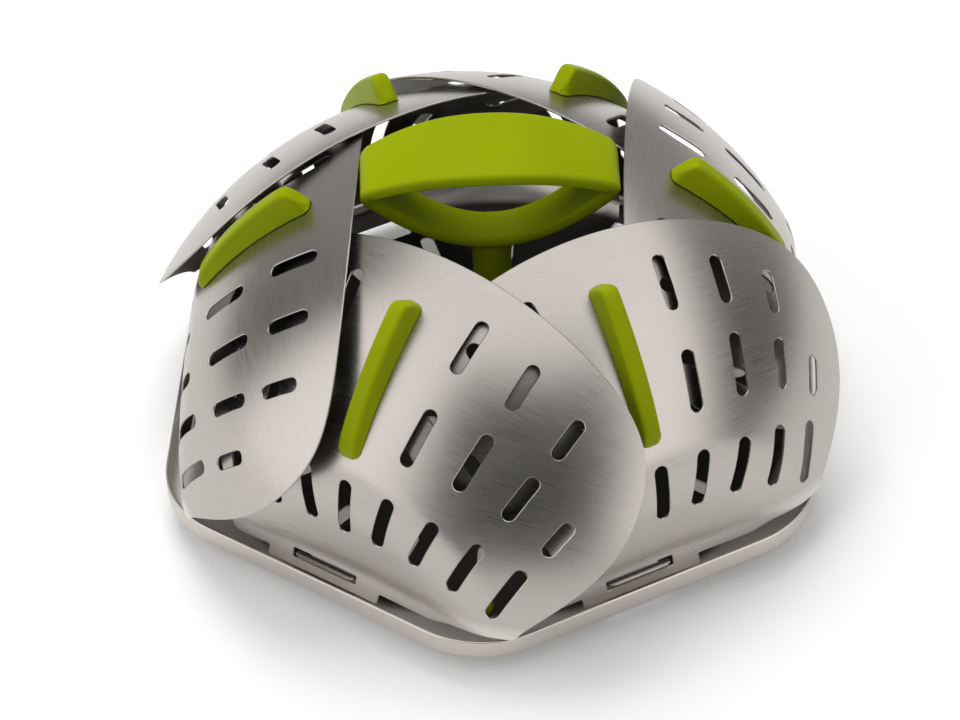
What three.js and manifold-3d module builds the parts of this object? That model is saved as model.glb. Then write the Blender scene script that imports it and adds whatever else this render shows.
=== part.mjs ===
// Folding steamer basket: a hexagonal steel tray, six domed petals that hook onto it and
// fold over one another, a green grip on each petal and a green loop handle on a stem.
// Millimetres, +Z up. The origin is on the table, under the middle of the tray.
import * as THREE from 'three';
import { mergeVertices } from 'three/addons/utils/BufferGeometryUtils.js';
import Module from 'manifold-3d';

const wasm = await Module();
wasm.setup();

// Sizes shared by several pieces
const SIDES = 6;
const FIT_GAP = 0.3; // air between pieces that touch on the real basket
const OVERRUN = 3; // how far a cutter runs past the faces that it cuts
const PROBE_STEP = 0.05; // step used to find the slope of the petal's surface

// Tray: a shallow pan of one sheet with a plain upright wall
const TRAY_APOTHEM = 98; // centre to the middle of an outer wall
const TRAY_CORNER_RADIUS = 30;
const TRAY_WALL_HEIGHT = 8.5;
const TRAY_SHEET = 0.9;
const TRAY_BEND_RADIUS = 3.2;
const TRAY_CORNER_STEPS = 5;
const TRAY_BEND_STEPS = 3;

// Floor slots: three rings, fanned round the middle, with their ends as shares of the
// distance from the centre to the hole that each tongue leaves
const FLOOR_SLOT_WIDTH = 4.4;
const FLOOR_RING_SHARES = [
  { inner: 0.25, outer: 0.45, perSide: 1 },
  { inner: 0.52, outer: 0.7, perSide: 2 },
  { inner: 0.775, outer: 0.97, perSide: 3 },
];

// Hinge: a tongue of the tray passes through a slot in the petal and curls over its strip
const HINGE_INSET = 5.2; // outside of the tray's wall to the hinge line
const HINGE_HEIGHT = 6.8; // underside of the tray to the hinge line
const TONGUE_WIDTH = 20.6;
const TONGUE_CURL_RADIUS = 1.8; // inside of the curl
const TONGUE_CURL_END_DEG = 70; // 180 is the upright part, 90 is the top
const TONGUE_CURL_STEPS = 5;
const TONGUE_WINDOW_LENGTH = 9; // hole left in the floor where the tongue was bent up
const TONGUE_WINDOW_SIDE_GAP = 0.5;

// Petal: a piece of a sphere whose lower middle is pressed flat, with a flared hinge tab
const PETAL_SHEET = 0.7;
const PETAL_SHIFT = 8; // the petal's own middle lies this far round from its hinge
const DOME_RADIUS = 113.2;
const DOME_CENTRE_INSET = 100.1; // hinge line to the dome's centre, across the basket
const DOME_CENTRE_DROP = 17.4; // hinge line down to the dome's centre
const WALL_INSET = 0.9; // hinge line to the pressed flat, at the petal's middle
const WALL_BOW = 1.8; // how far the flat bows out at the petal's foot corner
const FLARE_DEG = 22; // lean of the hinge tab from upright
const BLEND_WIDTH = 6; // softness of the bends between dome, flat and tab
const FLARE_BLEND_WIDTH = 1.2;
const PETAL_HALF_WIDTH = 77;
const TUCKED_SIDE_SHARE = 0.84; // width of the side that lies under the next petal
const PETAL_WIDEST_INSET = 36.8; // hinge line to the widest place
const PETAL_TOP_INSET = 0.5; // end of the handle to the middle of the top edge
const PETAL_TOP_CORNER_DROP = 2.5; // how far the top edge falls away to its corners
const PETAL_TOP_CORNER_ACROSS = 58;
const PETAL_FOOT_ACROSS = 46.6;
const PETAL_FOOT_OVERHANG = 1.3; // the side edges end this far outside the hinge line
const PETAL_EDGE_RISE = 1.4; // hinge line up to the bottom edge beside the tab
const PETAL_CORNER_LIFT = 1.6; // extra height where the edge passes over the tray's corner
const PETAL_LIFT_START = 36;
const PETAL_LIFT_LENGTH = 10;
const PETAL_COLUMNS = 10;
const DOME_ROWS = 6;
const TAB_ROWS = 3;
const DOME_TOP_DEG = 70;
const DOME_LOW_DEG = 15;
const TOP_EDGE_STEPS = 3;
const CORNER_EDGE_STEPS = 5;
const SIDE_EDGE_STEPS = 6;

// Pull points of the outline's curves, as shares of the distance that each curve covers
const TOP_EDGE_SHARE = 0.6;
const CORNER_PULL_SHARES = { startRise: 0.1, startRun: 0.63, endRise: 0.69 };
const SIDE_PULL_SHARES = { startRise: 0.42, endRise: 0.16, endRun: 0.375 };

// Each petal folds down as far as its loose hinge and its neighbours let it
const PETAL_REST_DEG = [1.2, -1.6, -0.5, 0.7, 0.4, 0];

// Hinge tab of the petal, measured along the tab from the hinge line
const TAB_WIDTH = 38.8;
const STRIP_OUTWARD = 1.6;
const STRIP_INWARD = 0.9;
const TAB_SLOT_WIDTH = 22.2;
const TAB_SLOT_END = 4.4;

// Petal slots: ends as shares of the half width, and angles up from the dome's centre
const SLOT_WIDTH = 4.2;
const SLOT_END_STEPS = 2;
const SLOT_SHARES = [
  { low: [0.255, 51.7], high: [0.28, 60.4] },
  { low: [0.49, 50], high: [0.515, 57.9] },
  { low: [0.695, 45.7], high: [0.73, 53.1] },
  { low: [0.206, 36.3], high: [0.242, 45.6] },
  { low: [0.418, 35.7], high: [0.468, 45.4] },
  { low: [0.608, 33.7], high: [0.666, 41.7] },
  { low: [0.765, 29.5], high: [0.82, 36.1], outerSideOnly: true },
  { low: [0, 21.1], high: [0, 30.7] },
  { low: [0.143, 21.3], high: [0.19, 30.6] },
  { low: [0.305, 20.9], high: [0.38, 29.7] },
  { low: [0.47, 19], high: [0.556, 28.5] },
  { low: [0.627, 16], high: [0.716, 25.9] },
];

// Grip: a green fin on the petal's middle line, held by two pegs with heads inside
const GRIP_LOW_DEG = 34.2;
const GRIP_HIGH_DEG = 59.4;
const GRIP_LOW_SHIFT = 1.2; // the low end lies this far towards the tucked side
const GRIP_LOW_HEIGHT = 2.6;
const GRIP_HIGH_HEIGHT = 9.25;
const GRIP_RISE_SHARE = 0.75; // below 1, the crest rises fastest at the low end
const GRIP_LOW_WIDTH = 7.4;
const GRIP_HIGH_WIDTH = 6.8;
const GRIP_EDGE_RADIUS = 1.3;
const GRIP_DRAFT = 0.8; // each side leans in by this much at the crest
const GRIP_ROOT = 3; // depth of the raw fin below the sheet, before it is cut off
const GRIP_STATIONS_SHARES = [0, 0.045, 0.12, 0.3, 0.5, 0.7, 0.86, 0.925, 1];
const GRIP_CREST_SHARES = [0.15, 0.8, 1, 1, 1, 1, 1, 0.97, 0.12];
const PEG_RADIUS = 1.9;
const PEG_HEAD_RADIUS = 3.4;
const PEG_HEAD_THICKNESS = 1.3;
const PEG_SHARES = [0.45, 0.85];
const PEG_STEPS = 8;

// Handle: an eye-shaped band on a stem
const HANDLE_TURN_DEG = 4.6; // the handle is screwed tight a little past square
const HANDLE_HALF_LENGTH = 38;
const HANDLE_TOP_RISE = 1.8; // above the crown of the dome
const HANDLE_END_DROP = 10.2; // below that crown
const HANDLE_LOW_DROP = 33.7;
const HANDLE_END_BEND = 2.7; // radius of the band's middle line round each end
const HANDLE_TOP_THICKNESS = 4.3;
const HANDLE_END_THICKNESS = 4.7;
const HANDLE_LOW_THICKNESS = 3.8;
const HANDLE_TOP_DEPTH = 29.7;
const HANDLE_SHOULDER_DEPTH = 21.8; // where the upper band meets the bend of the end
const HANDLE_TIP_DEPTH = 18.5; // where that bend meets the lower band
const HANDLE_LOW_DEPTH = 13.6;
const HANDLE_BAND_STEPS = 14;
const HANDLE_END_STEPS = 4;
const HANDLE_EDGE_RADIUS = 1.6;
const ARCH_POWER_SHARE = 2.36; // 2 is a parabola, and 1 runs straight to a peak
const BOWL_POWER_SHARE = 1.95;
const STEM_NECK_RADIUS = 5.8;
const STEM_NECK_DROP = 9; // the flare under the loop starts this far below it
const STEM_FLARE_HALF_LENGTH = 10; // along the loop, where the flare ends inside it
const STEM_FLARE_HALF_DEPTH = 6.4;
const STEM_FLARE_END_SHARE = 0.9; // of the lower band's thickness
const STEM_FLARE_STEPS = 4;
const STEM_FOOT_RADIUS = 5.2;
const FLANGE_RADIUS = 11;
const FLANGE_THICKNESS = 2.2;
const FLANGE_FILLET = 3;
const FLANGE_FILLET_SHARE = 1 / 3; // middle of the fillet, along and up
const ROUND_STEPS = 16;

// Fixing under the handle: a threaded insert, a washer and a pan-head screw
const SCREW_RADIUS = 2;
const SCREW_LENGTH = 14;
const SCREW_HEAD_RADIUS = 4;
const SCREW_HEAD_HEIGHT = 2.2;
const SCREW_FACE_RADIUS = 2.8;
const SCREW_RECESS_RADIUS = 1.2;
const SCREW_RECESS_DEPTH = 1.3;
const INSERT_RADIUS = 3.6;
const INSERT_LENGTH = 12;
const WASHER_RADIUS = 5.5;
const WASHER_THICKNESS = 0.8;

// Feet: three pads pushed into holes of the tray
const FOOT_COUNT = 3;
const FOOT_HEIGHT = 6;
const FOOT_RADIUS = 6;
const FOOT_TOP_RADIUS = 5.2;
const FOOT_NECK_RADIUS = 2.4;
const FOOT_HEAD_RADIUS = 4;
const FOOT_HEAD_THICKNESS = 1.4;
const FOOT_CIRCLE_RADIUS = 88;
const FOOT_STEPS = 12;

const TURN = (2 * Math.PI) / SIDES;
const HINGE_RADIUS = TRAY_APOTHEM - HINGE_INSET; // centre of the basket to the hinge line
const TONGUE_OUTER_RADIUS = TONGUE_CURL_RADIUS + TRAY_SHEET;
const TONGUE_FACE_RADIUS = HINGE_RADIUS - TONGUE_OUTER_RADIUS;
const DOME_CENTRE_BACK = DOME_CENTRE_INSET - HINGE_RADIUS; // behind the basket's middle
const WALL_RADIUS = HINGE_RADIUS - WALL_INSET;
const PETAL_TOP_RADIUS = HANDLE_HALF_LENGTH - PETAL_TOP_INSET;
const PETAL_TOP_CORNER_RADIUS = PETAL_TOP_RADIUS + PETAL_TOP_CORNER_DROP;
const PETAL_WIDEST_RADIUS = HINGE_RADIUS - PETAL_WIDEST_INSET;
const PETAL_FOOT_RADIUS = HINGE_RADIUS + PETAL_FOOT_OVERHANG;
const DOME_CROWN = HINGE_HEIGHT - DOME_CENTRE_DROP + DOME_RADIUS;
const HANDLE_TOP = DOME_CROWN + HANDLE_TOP_RISE;
const HANDLE_END_HEIGHT = DOME_CROWN - HANDLE_END_DROP;
const HANDLE_LOW = DOME_CROWN - HANDLE_LOW_DROP;
const flareSlope = Math.tan(THREE.MathUtils.degToRad(FLARE_DEG));
const flareCos = Math.cos(THREE.MathUtils.degToRad(FLARE_DEG));

// Solids and meshes

function solidOf(geometry) {
  const bare = geometry.clone();
  bare.deleteAttribute('normal');
  bare.deleteAttribute('uv');
  const merged = mergeVertices(bare);
  const vertProperties = new Float32Array(merged.attributes.position.array);
  const triVerts = new Uint32Array(merged.index.array);
  return new wasm.Manifold(new wasm.Mesh({ numProp: 3, vertProperties, triVerts }));
}

function geometryOf(solid) {
  const mesh = solid.getMesh();
  const geometry = new THREE.BufferGeometry();
  geometry.setAttribute('position', new THREE.BufferAttribute(mesh.vertProperties, 3));
  geometry.setIndex(new THREE.BufferAttribute(mesh.triVerts, 1));
  geometry.computeVertexNormals();
  return geometry;
}

function cutAll(solid, cutters) {
  return cutters.reduce((left, cutter) => left.subtract(cutter), solid);
}

function joinAll(solids) {
  return solids.reduce((whole, solid) => whole.add(solid));
}

// Skin over rings of points: rings[i][j], closed round j, with a flat cap at each end,
// or joined end to start when the rings form a loop.
function skin(rings, looped = false) {
  const size = rings[0].length;
  const positions = rings.flat().flatMap((point) => [point.x, point.y, point.z]);
  const indices = [];
  const last = looped ? rings.length : rings.length - 1;
  for (let i = 0; i < last; i += 1) {
    const next = (i + 1) % rings.length;
    for (let j = 0; j < size; j += 1) {
      const k = (j + 1) % size;
      indices.push(i * size + j, i * size + k, next * size + k);
      indices.push(i * size + j, next * size + k, next * size + j);
    }
  }
  if (!looped) {
    const top = (rings.length - 1) * size;
    for (let j = 1; j < size - 1; j += 1) {
      indices.push(0, j + 1, j);
      indices.push(top, top + j, top + j + 1);
    }
  }
  const geometry = new THREE.BufferGeometry();
  geometry.setAttribute('position', new THREE.Float32BufferAttribute(positions, 3));
  geometry.setIndex(indices);
  return geometry;
}

// A body of revolution about Z from [radius, height] pairs that start and end on the axis.
function turned(profile, steps) {
  const points = profile.map(([radius, height]) => new THREE.Vector2(radius, height));
  return new THREE.LatheGeometry(points, steps).rotateX(Math.PI / 2);
}

// A prism of the given outline, centred on its own thickness.
function plate(shape, thickness) {
  const settings = { depth: thickness, bevelEnabled: false };
  return new THREE.ExtrudeGeometry(shape, settings).translate(0, 0, -thickness / 2);
}

// A slot with round ends, its length along X.
function slotShape(length, width) {
  const reach = (length - width) / 2;
  const points = [];
  for (const end of [1, -1]) {
    for (let step = 0; step <= SLOT_END_STEPS; step += 1) {
      const angle = (step / SLOT_END_STEPS - 0.5) * Math.PI;
      const x = end * (reach + (width / 2) * Math.cos(angle));
      points.push(new THREE.Vector2(x, end * (width / 2) * Math.sin(angle)));
    }
  }
  return new THREE.Shape(points);
}

// Materials

function steel() {
  return new THREE.MeshStandardMaterial({ color: 0xb4b0a9, roughness: 0.38, metalness: 1 });
}

function softGreen() {
  return new THREE.MeshStandardMaterial({ color: 0x95a508, roughness: 0.5, metalness: 0 });
}

function bright() {
  return new THREE.MeshStandardMaterial({ color: 0xc4c4c2, roughness: 0.25, metalness: 1 });
}

function meshOf(name, solid, material) {
  const mesh = new THREE.Mesh(geometryOf(solid), material);
  mesh.name = name;
  return mesh;
}

// Tray

function hexagonRing(inset, height) {
  const radius = TRAY_CORNER_RADIUS - inset;
  const reach = (TRAY_APOTHEM - TRAY_CORNER_RADIUS) / Math.cos(TURN / 2);
  const ring = [];
  for (let side = 0; side < SIDES; side += 1) {
    const corner = (side + 0.5) * TURN;
    for (let step = 0; step <= TRAY_CORNER_STEPS; step += 1) {
      const angle = corner + (step / TRAY_CORNER_STEPS - 0.5) * TURN;
      const x = reach * Math.cos(corner) + radius * Math.cos(angle);
      const y = reach * Math.sin(corner) + radius * Math.sin(angle);
      ring.push(new THREE.Vector3(x, y, height));
    }
  }
  return ring;
}

function panBody(inset, floor, top) {
  const rings = [];
  const bend = TRAY_BEND_RADIUS - inset;
  for (let step = 0; step <= TRAY_BEND_STEPS; step += 1) {
    const angle = (step / TRAY_BEND_STEPS) * (Math.PI / 2);
    const ringInset = inset + bend * (1 - Math.sin(angle));
    rings.push(hexagonRing(ringInset, floor + bend * (1 - Math.cos(angle))));
  }
  rings.push(hexagonRing(inset, top));
  return solidOf(skin(rings));
}

function floorSlots() {
  const cutters = [];
  const reach = TONGUE_FACE_RADIUS - TONGUE_WINDOW_LENGTH;
  for (const { inner, outer, perSide } of FLOOR_RING_SHARES) {
    const shape = slotShape((outer - inner) * reach, FLOOR_SLOT_WIDTH);
    const count = SIDES * perSide;
    for (let index = 0; index < count; index += 1) {
      const cutter = plate(shape, TRAY_SHEET + 2 * OVERRUN);
      cutter.translate(((inner + outer) / 2) * reach, 0, TRAY_SHEET / 2);
      cutter.rotateZ(((index + 0.5) / perSide) * TURN);
      cutters.push(solidOf(cutter));
    }
  }
  return cutters;
}

// The tongue's section, seen along the hinge line: upright part, then the curl.
function tongueShape() {
  const points = [];
  const end = THREE.MathUtils.degToRad(TONGUE_CURL_END_DEG);
  const arc = (radius, share) => {
    const angle = Math.PI + (end - Math.PI) * share;
    points.push(new THREE.Vector2(radius * Math.cos(angle), radius * Math.sin(angle)));
  };
  points.push(new THREE.Vector2(-TONGUE_OUTER_RADIUS, TRAY_SHEET / 2 - HINGE_HEIGHT));
  for (let step = 0; step <= TONGUE_CURL_STEPS; step += 1) {
    arc(TONGUE_OUTER_RADIUS, step / TONGUE_CURL_STEPS);
  }
  for (let step = TONGUE_CURL_STEPS; step >= 0; step -= 1) {
    arc(TONGUE_CURL_RADIUS, step / TONGUE_CURL_STEPS);
  }
  points.push(new THREE.Vector2(-TONGUE_CURL_RADIUS, TRAY_SHEET / 2 - HINGE_HEIGHT));
  return new THREE.Shape(points);
}

function tongue(side) {
  const body = plate(tongueShape(), TONGUE_WIDTH);
  body.rotateX(Math.PI / 2);
  body.translate(HINGE_RADIUS, 0, HINGE_HEIGHT);
  return solidOf(body.rotateZ(side * TURN));
}

function tongueWindow(side) {
  const width = TONGUE_WIDTH + 2 * TONGUE_WINDOW_SIDE_GAP;
  const depth = TRAY_SHEET + 2 * OVERRUN;
  const body = new THREE.BoxGeometry(TONGUE_WINDOW_LENGTH, width, depth);
  body.translate(TONGUE_FACE_RADIUS - TONGUE_WINDOW_LENGTH / 2, 0, TRAY_SHEET / 2);
  return solidOf(body.rotateZ(side * TURN));
}

function roundCutter(radius, steps) {
  const half = TRAY_SHEET / 2 + OVERRUN;
  const body = turned([[0, -half], [radius, -half], [radius, half], [0, half]], steps);
  return body.translate(0, 0, TRAY_SHEET / 2);
}

function footAngle(index) {
  return (index * 2 * Math.PI) / FOOT_COUNT - Math.PI / 2;
}

function trayMesh() {
  let solid = panBody(0, 0, TRAY_WALL_HEIGHT);
  solid = solid.subtract(panBody(TRAY_SHEET, TRAY_SHEET, TRAY_WALL_HEIGHT + OVERRUN));
  const sides = [...Array(SIDES).keys()];
  const holes = [solidOf(roundCutter(SCREW_RADIUS + FIT_GAP, ROUND_STEPS))];
  for (let index = 0; index < FOOT_COUNT; index += 1) {
    const hole = roundCutter(FOOT_NECK_RADIUS + FIT_GAP, FOOT_STEPS);
    hole.translate(FOOT_CIRCLE_RADIUS, 0, 0).rotateZ(footAngle(index));
    holes.push(solidOf(hole));
  }
  solid = cutAll(solid, [...floorSlots(), ...sides.map(tongueWindow), ...holes]);
  return meshOf('base_tray', joinAll([solid, ...sides.map(tongue)]), steel());
}

// Petal surface

function softMin(a, b, width) {
  const overlap = Math.max(width - Math.abs(a - b), 0) / width;
  return Math.min(a, b) - (overlap * overlap * width) / 4;
}

// Distance from the dome's centre line to the outer face, at a place across the petal
// and an angle up from the level. The outer face is the dome, the flat or the hinge tab.
function petalReach(across, angle) {
  const dome = Math.sqrt(DOME_RADIUS ** 2 - across ** 2);
  const bow = WALL_BOW * (across / PETAL_FOOT_ACROSS) ** 2;
  const wall = (WALL_RADIUS + bow + DOME_CENTRE_BACK) / Math.cos(angle);
  const face = HINGE_RADIUS + PETAL_SHEET / 2 / flareCos;
  const run = face + DOME_CENTRE_BACK + DOME_CENTRE_DROP * flareSlope;
  const tab = run / (Math.cos(angle) + flareSlope * Math.sin(angle));
  const lower = -softMin(-wall, -tab, FLARE_BLEND_WIDTH);
  return softMin(dome, lower, BLEND_WIDTH);
}

function petalFace(across, angle) {
  const reach = petalReach(across, angle);
  const radius = reach * Math.cos(angle) - DOME_CENTRE_BACK;
  const height = HINGE_HEIGHT - DOME_CENTRE_DROP + reach * Math.sin(angle);
  return new THREE.Vector3(radius, across + PETAL_SHIFT, height);
}

function petalNormal(across, angle) {
  const turn = PROBE_STEP / DOME_RADIUS;
  const sideways = petalFace(across + PROBE_STEP, angle);
  sideways.sub(petalFace(across - PROBE_STEP, angle));
  const upward = petalFace(across, angle + turn).sub(petalFace(across, angle - turn));
  return sideways.cross(upward).normalize();
}

function petalPoint(across, angle, offset) {
  return petalFace(across, angle).addScaledVector(petalNormal(across, angle), offset);
}

// Angle at which the hinge tab's outer face is this far along the tab from the hinge line.
function tabAngle(along) {
  const radius = HINGE_RADIUS - along * flareCos * flareSlope + DOME_CENTRE_BACK;
  return Math.atan2(DOME_CENTRE_DROP + along * flareCos, radius);
}

function rowAngles() {
  const low = THREE.MathUtils.degToRad(DOME_LOW_DEG);
  const top = THREE.MathUtils.degToRad(DOME_TOP_DEG);
  const start = tabAngle(-STRIP_OUTWARD);
  const angles = [];
  for (let row = 0; row < TAB_ROWS; row += 1) {
    angles.push(start + ((low - start) * row) / TAB_ROWS);
  }
  for (let row = 0; row <= DOME_ROWS; row += 1) {
    angles.push(low + ((top - low) * row) / DOME_ROWS);
  }
  return angles;
}

// Closed sheet between two offsets from the petal's outer face.
function petalSheet(outer, inner) {
  const half = PETAL_HALF_WIDTH + OVERRUN;
  const angles = rowAngles();
  const rings = [];
  for (let column = 0; column <= PETAL_COLUMNS; column += 1) {
    const across = half * ((2 * column) / PETAL_COLUMNS - 1);
    const back = angles.map((angle) => petalPoint(across, angle, inner));
    const front = angles.map((angle) => petalPoint(across, angle, outer)).reverse();
    rings.push([...back, ...front]);
  }
  return solidOf(sheetSkin(rings, angles.length));
}

// Skin whose end caps are bands of the sheet's thickness.
function sheetSkin(rings, rows) {
  const geometry = skin(rings);
  const size = rings[0].length;
  const indicesPerQuad = 6;
  const capStart = (rings.length - 1) * size * indicesPerQuad;
  const indices = [...geometry.index.array].slice(0, capStart);
  const top = (rings.length - 1) * size;
  for (let row = 0; row < rows - 1; row += 1) {
    const a = row;
    const b = row + 1;
    const c = size - 2 - row;
    const d = size - 1 - row;
    indices.push(a, c, b, a, d, c);
    indices.push(top + a, top + b, top + c, top + a, top + c, top + d);
  }
  geometry.setIndex(indices);
  return geometry;
}

// Outline of the petal's wide side seen from above, as [radius, across], from the middle
// of the top edge to the foot.
function sideOutline() {
  const half = PETAL_HALF_WIDTH;
  const at = (radius, across) => new THREE.Vector2(radius, across);
  const top = at(PETAL_TOP_RADIUS, 0);
  const corner = at(PETAL_TOP_CORNER_RADIUS, PETAL_TOP_CORNER_ACROSS);
  const widest = at(PETAL_WIDEST_RADIUS, half);
  const foot = at(PETAL_FOOT_RADIUS, PETAL_FOOT_ACROSS);
  const topPull = at(PETAL_TOP_RADIUS, corner.y * TOP_EDGE_SHARE);
  const { startRise, startRun, endRise } = CORNER_PULL_SHARES;
  const cornerRise = widest.x - corner.x;
  const cornerStart = at(corner.x + startRise * cornerRise, corner.y + startRun * (half - corner.y));
  const cornerEnd = at(widest.x - endRise * cornerRise, half);
  const sideRise = foot.x - widest.x;
  const sideStart = at(widest.x + SIDE_PULL_SHARES.startRise * sideRise, half);
  const footRun = SIDE_PULL_SHARES.endRun * (half - foot.y);
  const sideEnd = at(foot.x - SIDE_PULL_SHARES.endRise * sideRise, foot.y + footRun);
  return [
    ...new THREE.QuadraticBezierCurve(top, topPull, corner).getPoints(TOP_EDGE_STEPS),
    ...new THREE.CubicBezierCurve(corner, cornerStart, cornerEnd, widest)
      .getPoints(CORNER_EDGE_STEPS).slice(1),
    ...new THREE.CubicBezierCurve(widest, sideStart, sideEnd, foot)
      .getPoints(SIDE_EDGE_STEPS).slice(1),
    at(foot.x + 2 * OVERRUN, foot.y - OVERRUN),
  ];
}

// The tucked side is the same curve, drawn narrower.
function planShape() {
  const wide = sideOutline();
  const tucked = wide.slice(1).map((point) => {
    return new THREE.Vector2(point.x, -point.y * TUCKED_SIDE_SHARE);
  });
  return new THREE.Shape([...tucked.reverse(), ...wide]);
}

function planCutter() {
  const height = 2 * DOME_RADIUS;
  return solidOf(plate(planShape(), height).translate(0, PETAL_SHIFT, 0));
}

// Outline of the petal's foot seen from outside, as [along the side, height].
function footShape() {
  const wide = PETAL_HALF_WIDTH + PETAL_SHIFT + OVERRUN;
  const tab = TAB_WIDTH / 2;
  const low = HINGE_HEIGHT - STRIP_OUTWARD - OVERRUN;
  const edge = HINGE_HEIGHT + PETAL_EDGE_RISE;
  const lifted = edge + PETAL_CORNER_LIFT;
  const shape = new THREE.Shape();
  shape.moveTo(-wide, edge);
  shape.lineTo(-tab, edge);
  shape.lineTo(-tab, low);
  shape.lineTo(tab, low);
  shape.lineTo(tab, edge);
  shape.lineTo(PETAL_LIFT_START, edge);
  shape.lineTo(PETAL_LIFT_START + PETAL_LIFT_LENGTH, lifted);
  shape.lineTo(wide, lifted);
  shape.lineTo(wide, 2 * DOME_RADIUS);
  shape.lineTo(-wide, 2 * DOME_RADIUS);
  return shape;
}

function footCutter() {
  const body = plate(footShape(), 2 * DOME_RADIUS);
  body.rotateX(Math.PI / 2).rotateZ(Math.PI / 2);
  return solidOf(body.translate(DOME_RADIUS, 0, 0));
}

// Turns a plate so that its X lies along the petal between two places and its Z along
// the petal's outward normal.
function placeOnPetal(geometry, low, high, depth = 0) {
  const across = (low[0] + high[0]) / 2;
  const angle = (low[1] + high[1]) / 2;
  const along = petalFace(...high).sub(petalFace(...low)).normalize();
  const normal = petalNormal(across, angle);
  const side = normal.clone().cross(along).normalize();
  along.crossVectors(side, normal);
  const frame = new THREE.Matrix4().makeBasis(along, side, normal);
  frame.setPosition(petalPoint(across, angle, depth));
  return geometry.applyMatrix4(frame);
}

function slotCutters() {
  const cutters = [];
  for (const { low, high, outerSideOnly } of SLOT_SHARES) {
    for (const mirror of low[0] === 0 || outerSideOnly ? [1] : [1, -1]) {
      const place = ([share, degrees]) => [
        mirror * share * PETAL_HALF_WIDTH,
        THREE.MathUtils.degToRad(degrees),
      ];
      const ends = [place(low), place(high)];
      const length = petalFace(...ends[0]).distanceTo(petalFace(...ends[1]));
      const cutter = plate(slotShape(length, SLOT_WIDTH), 2 * OVERRUN);
      cutters.push(solidOf(placeOnPetal(cutter, ...ends)));
    }
  }
  return cutters;
}

function tabSlotCutter() {
  const length = TAB_SLOT_END - STRIP_INWARD;
  const body = new THREE.BoxGeometry(2 * OVERRUN, TAB_SLOT_WIDTH, length);
  body.translate(0, 0, STRIP_INWARD + length / 2);
  body.rotateY(-THREE.MathUtils.degToRad(FLARE_DEG));
  return solidOf(body.translate(HINGE_RADIUS, 0, HINGE_HEIGHT));
}

function gripAngle(share) {
  return THREE.MathUtils.degToRad(GRIP_LOW_DEG + (GRIP_HIGH_DEG - GRIP_LOW_DEG) * share);
}

function gripShift(share) {
  return -GRIP_LOW_SHIFT * (1 - share);
}

// How far the sheet's flat facets lie below the true surface at a place on it.
function facetSag(across, angle) {
  const angles = rowAngles();
  const row = angles.findIndex((next) => next > angle);
  const share = (angle - angles[row - 1]) / (angles[row] - angles[row - 1]);
  const chord = petalFace(across, angles[row - 1]).lerp(petalFace(across, angles[row]), share);
  return petalFace(across, angle).sub(chord).dot(petalNormal(across, angle));
}

// A round body on the petal's normal at a share of the grip's length.
function onGripAxis(profile, share) {
  const turn = PROBE_STEP / DOME_RADIUS;
  const ends = [-turn, turn].map((step) => [gripShift(share), gripAngle(share) + step]);
  const sag = facetSag(gripShift(share), gripAngle(share));
  return solidOf(placeOnPetal(turned(profile, PEG_STEPS), ...ends, -sag));
}

function pegAxes(radius, low, high) {
  const profile = [[0, low], [radius, low], [radius, high], [0, high]];
  return PEG_SHARES.map((share) => onGripAxis(profile, share));
}

function petalSolid() {
  const outline = petalSheet(0, -PETAL_SHEET).intersect(planCutter()).intersect(footCutter());
  const holes = pegAxes(PEG_RADIUS + FIT_GAP, -OVERRUN, OVERRUN);
  return cutAll(outline, [...slotCutters(), tabSlotCutter(), ...holes]);
}

// Grip

function gripRing(station, crest) {
  const place = [gripShift(station), gripAngle(station)];
  const rise = (GRIP_HIGH_HEIGHT - GRIP_LOW_HEIGHT) * station ** GRIP_RISE_SHARE;
  const height = crest * (GRIP_LOW_HEIGHT + rise);
  const root = (GRIP_LOW_WIDTH + (GRIP_HIGH_WIDTH - GRIP_LOW_WIDTH) * station) / 2;
  const top = root - GRIP_DRAFT;
  const edge = Math.min(GRIP_EDGE_RADIUS, height / 2);
  const outline = [
    [-root, -GRIP_ROOT],
    [-root, 0],
    [-top, height - edge],
    [edge - top, height],
    [top - edge, height],
    [top, height - edge],
    [root, 0],
    [root, -GRIP_ROOT],
  ];
  return outline.map(([across, offset]) => {
    const point = petalPoint(...place, offset);
    point.y += across;
    return point;
  });
}

function gripSolid() {
  const rings = GRIP_STATIONS_SHARES.map((share, i) => gripRing(share, GRIP_CREST_SHARES[i]));
  const fin = solidOf(skin(rings)).subtract(petalSheet(0, -(GRIP_ROOT + OVERRUN)));
  const head = -(PETAL_SHEET + FIT_GAP + PEG_HEAD_THICKNESS);
  const pegs = pegAxes(PEG_RADIUS, head, GRIP_LOW_HEIGHT);
  const heads = pegAxes(PEG_HEAD_RADIUS, head, 0);
  const clearance = petalSheet(FIT_GAP, -(PETAL_SHEET + FIT_GAP));
  return joinAll([joinAll([fin, ...heads]).subtract(clearance), ...pegs]);
}

function petalMeshes() {
  const meshes = [];
  const petal = petalSolid();
  const grip = gripSolid();
  for (let side = 0; side < SIDES; side += 1) {
    const hinge = new THREE.Group();
    hinge.position.set(HINGE_RADIUS, 0, HINGE_HEIGHT);
    hinge.rotation.y = THREE.MathUtils.degToRad(PETAL_REST_DEG[side]);
    const pieces = [
      meshOf(`petal_${side + 1}`, petal, steel()),
      meshOf(`petal_grip_${side + 1}`, grip, softGreen()),
    ];
    pieces.forEach((piece) => piece.position.set(-HINGE_RADIUS, 0, -HINGE_HEIGHT));
    hinge.add(...pieces);
    const group = new THREE.Group();
    group.rotation.z = side * TURN;
    group.add(hinge);
    meshes.push(group);
  }
  return meshes;
}

// Handle

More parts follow.
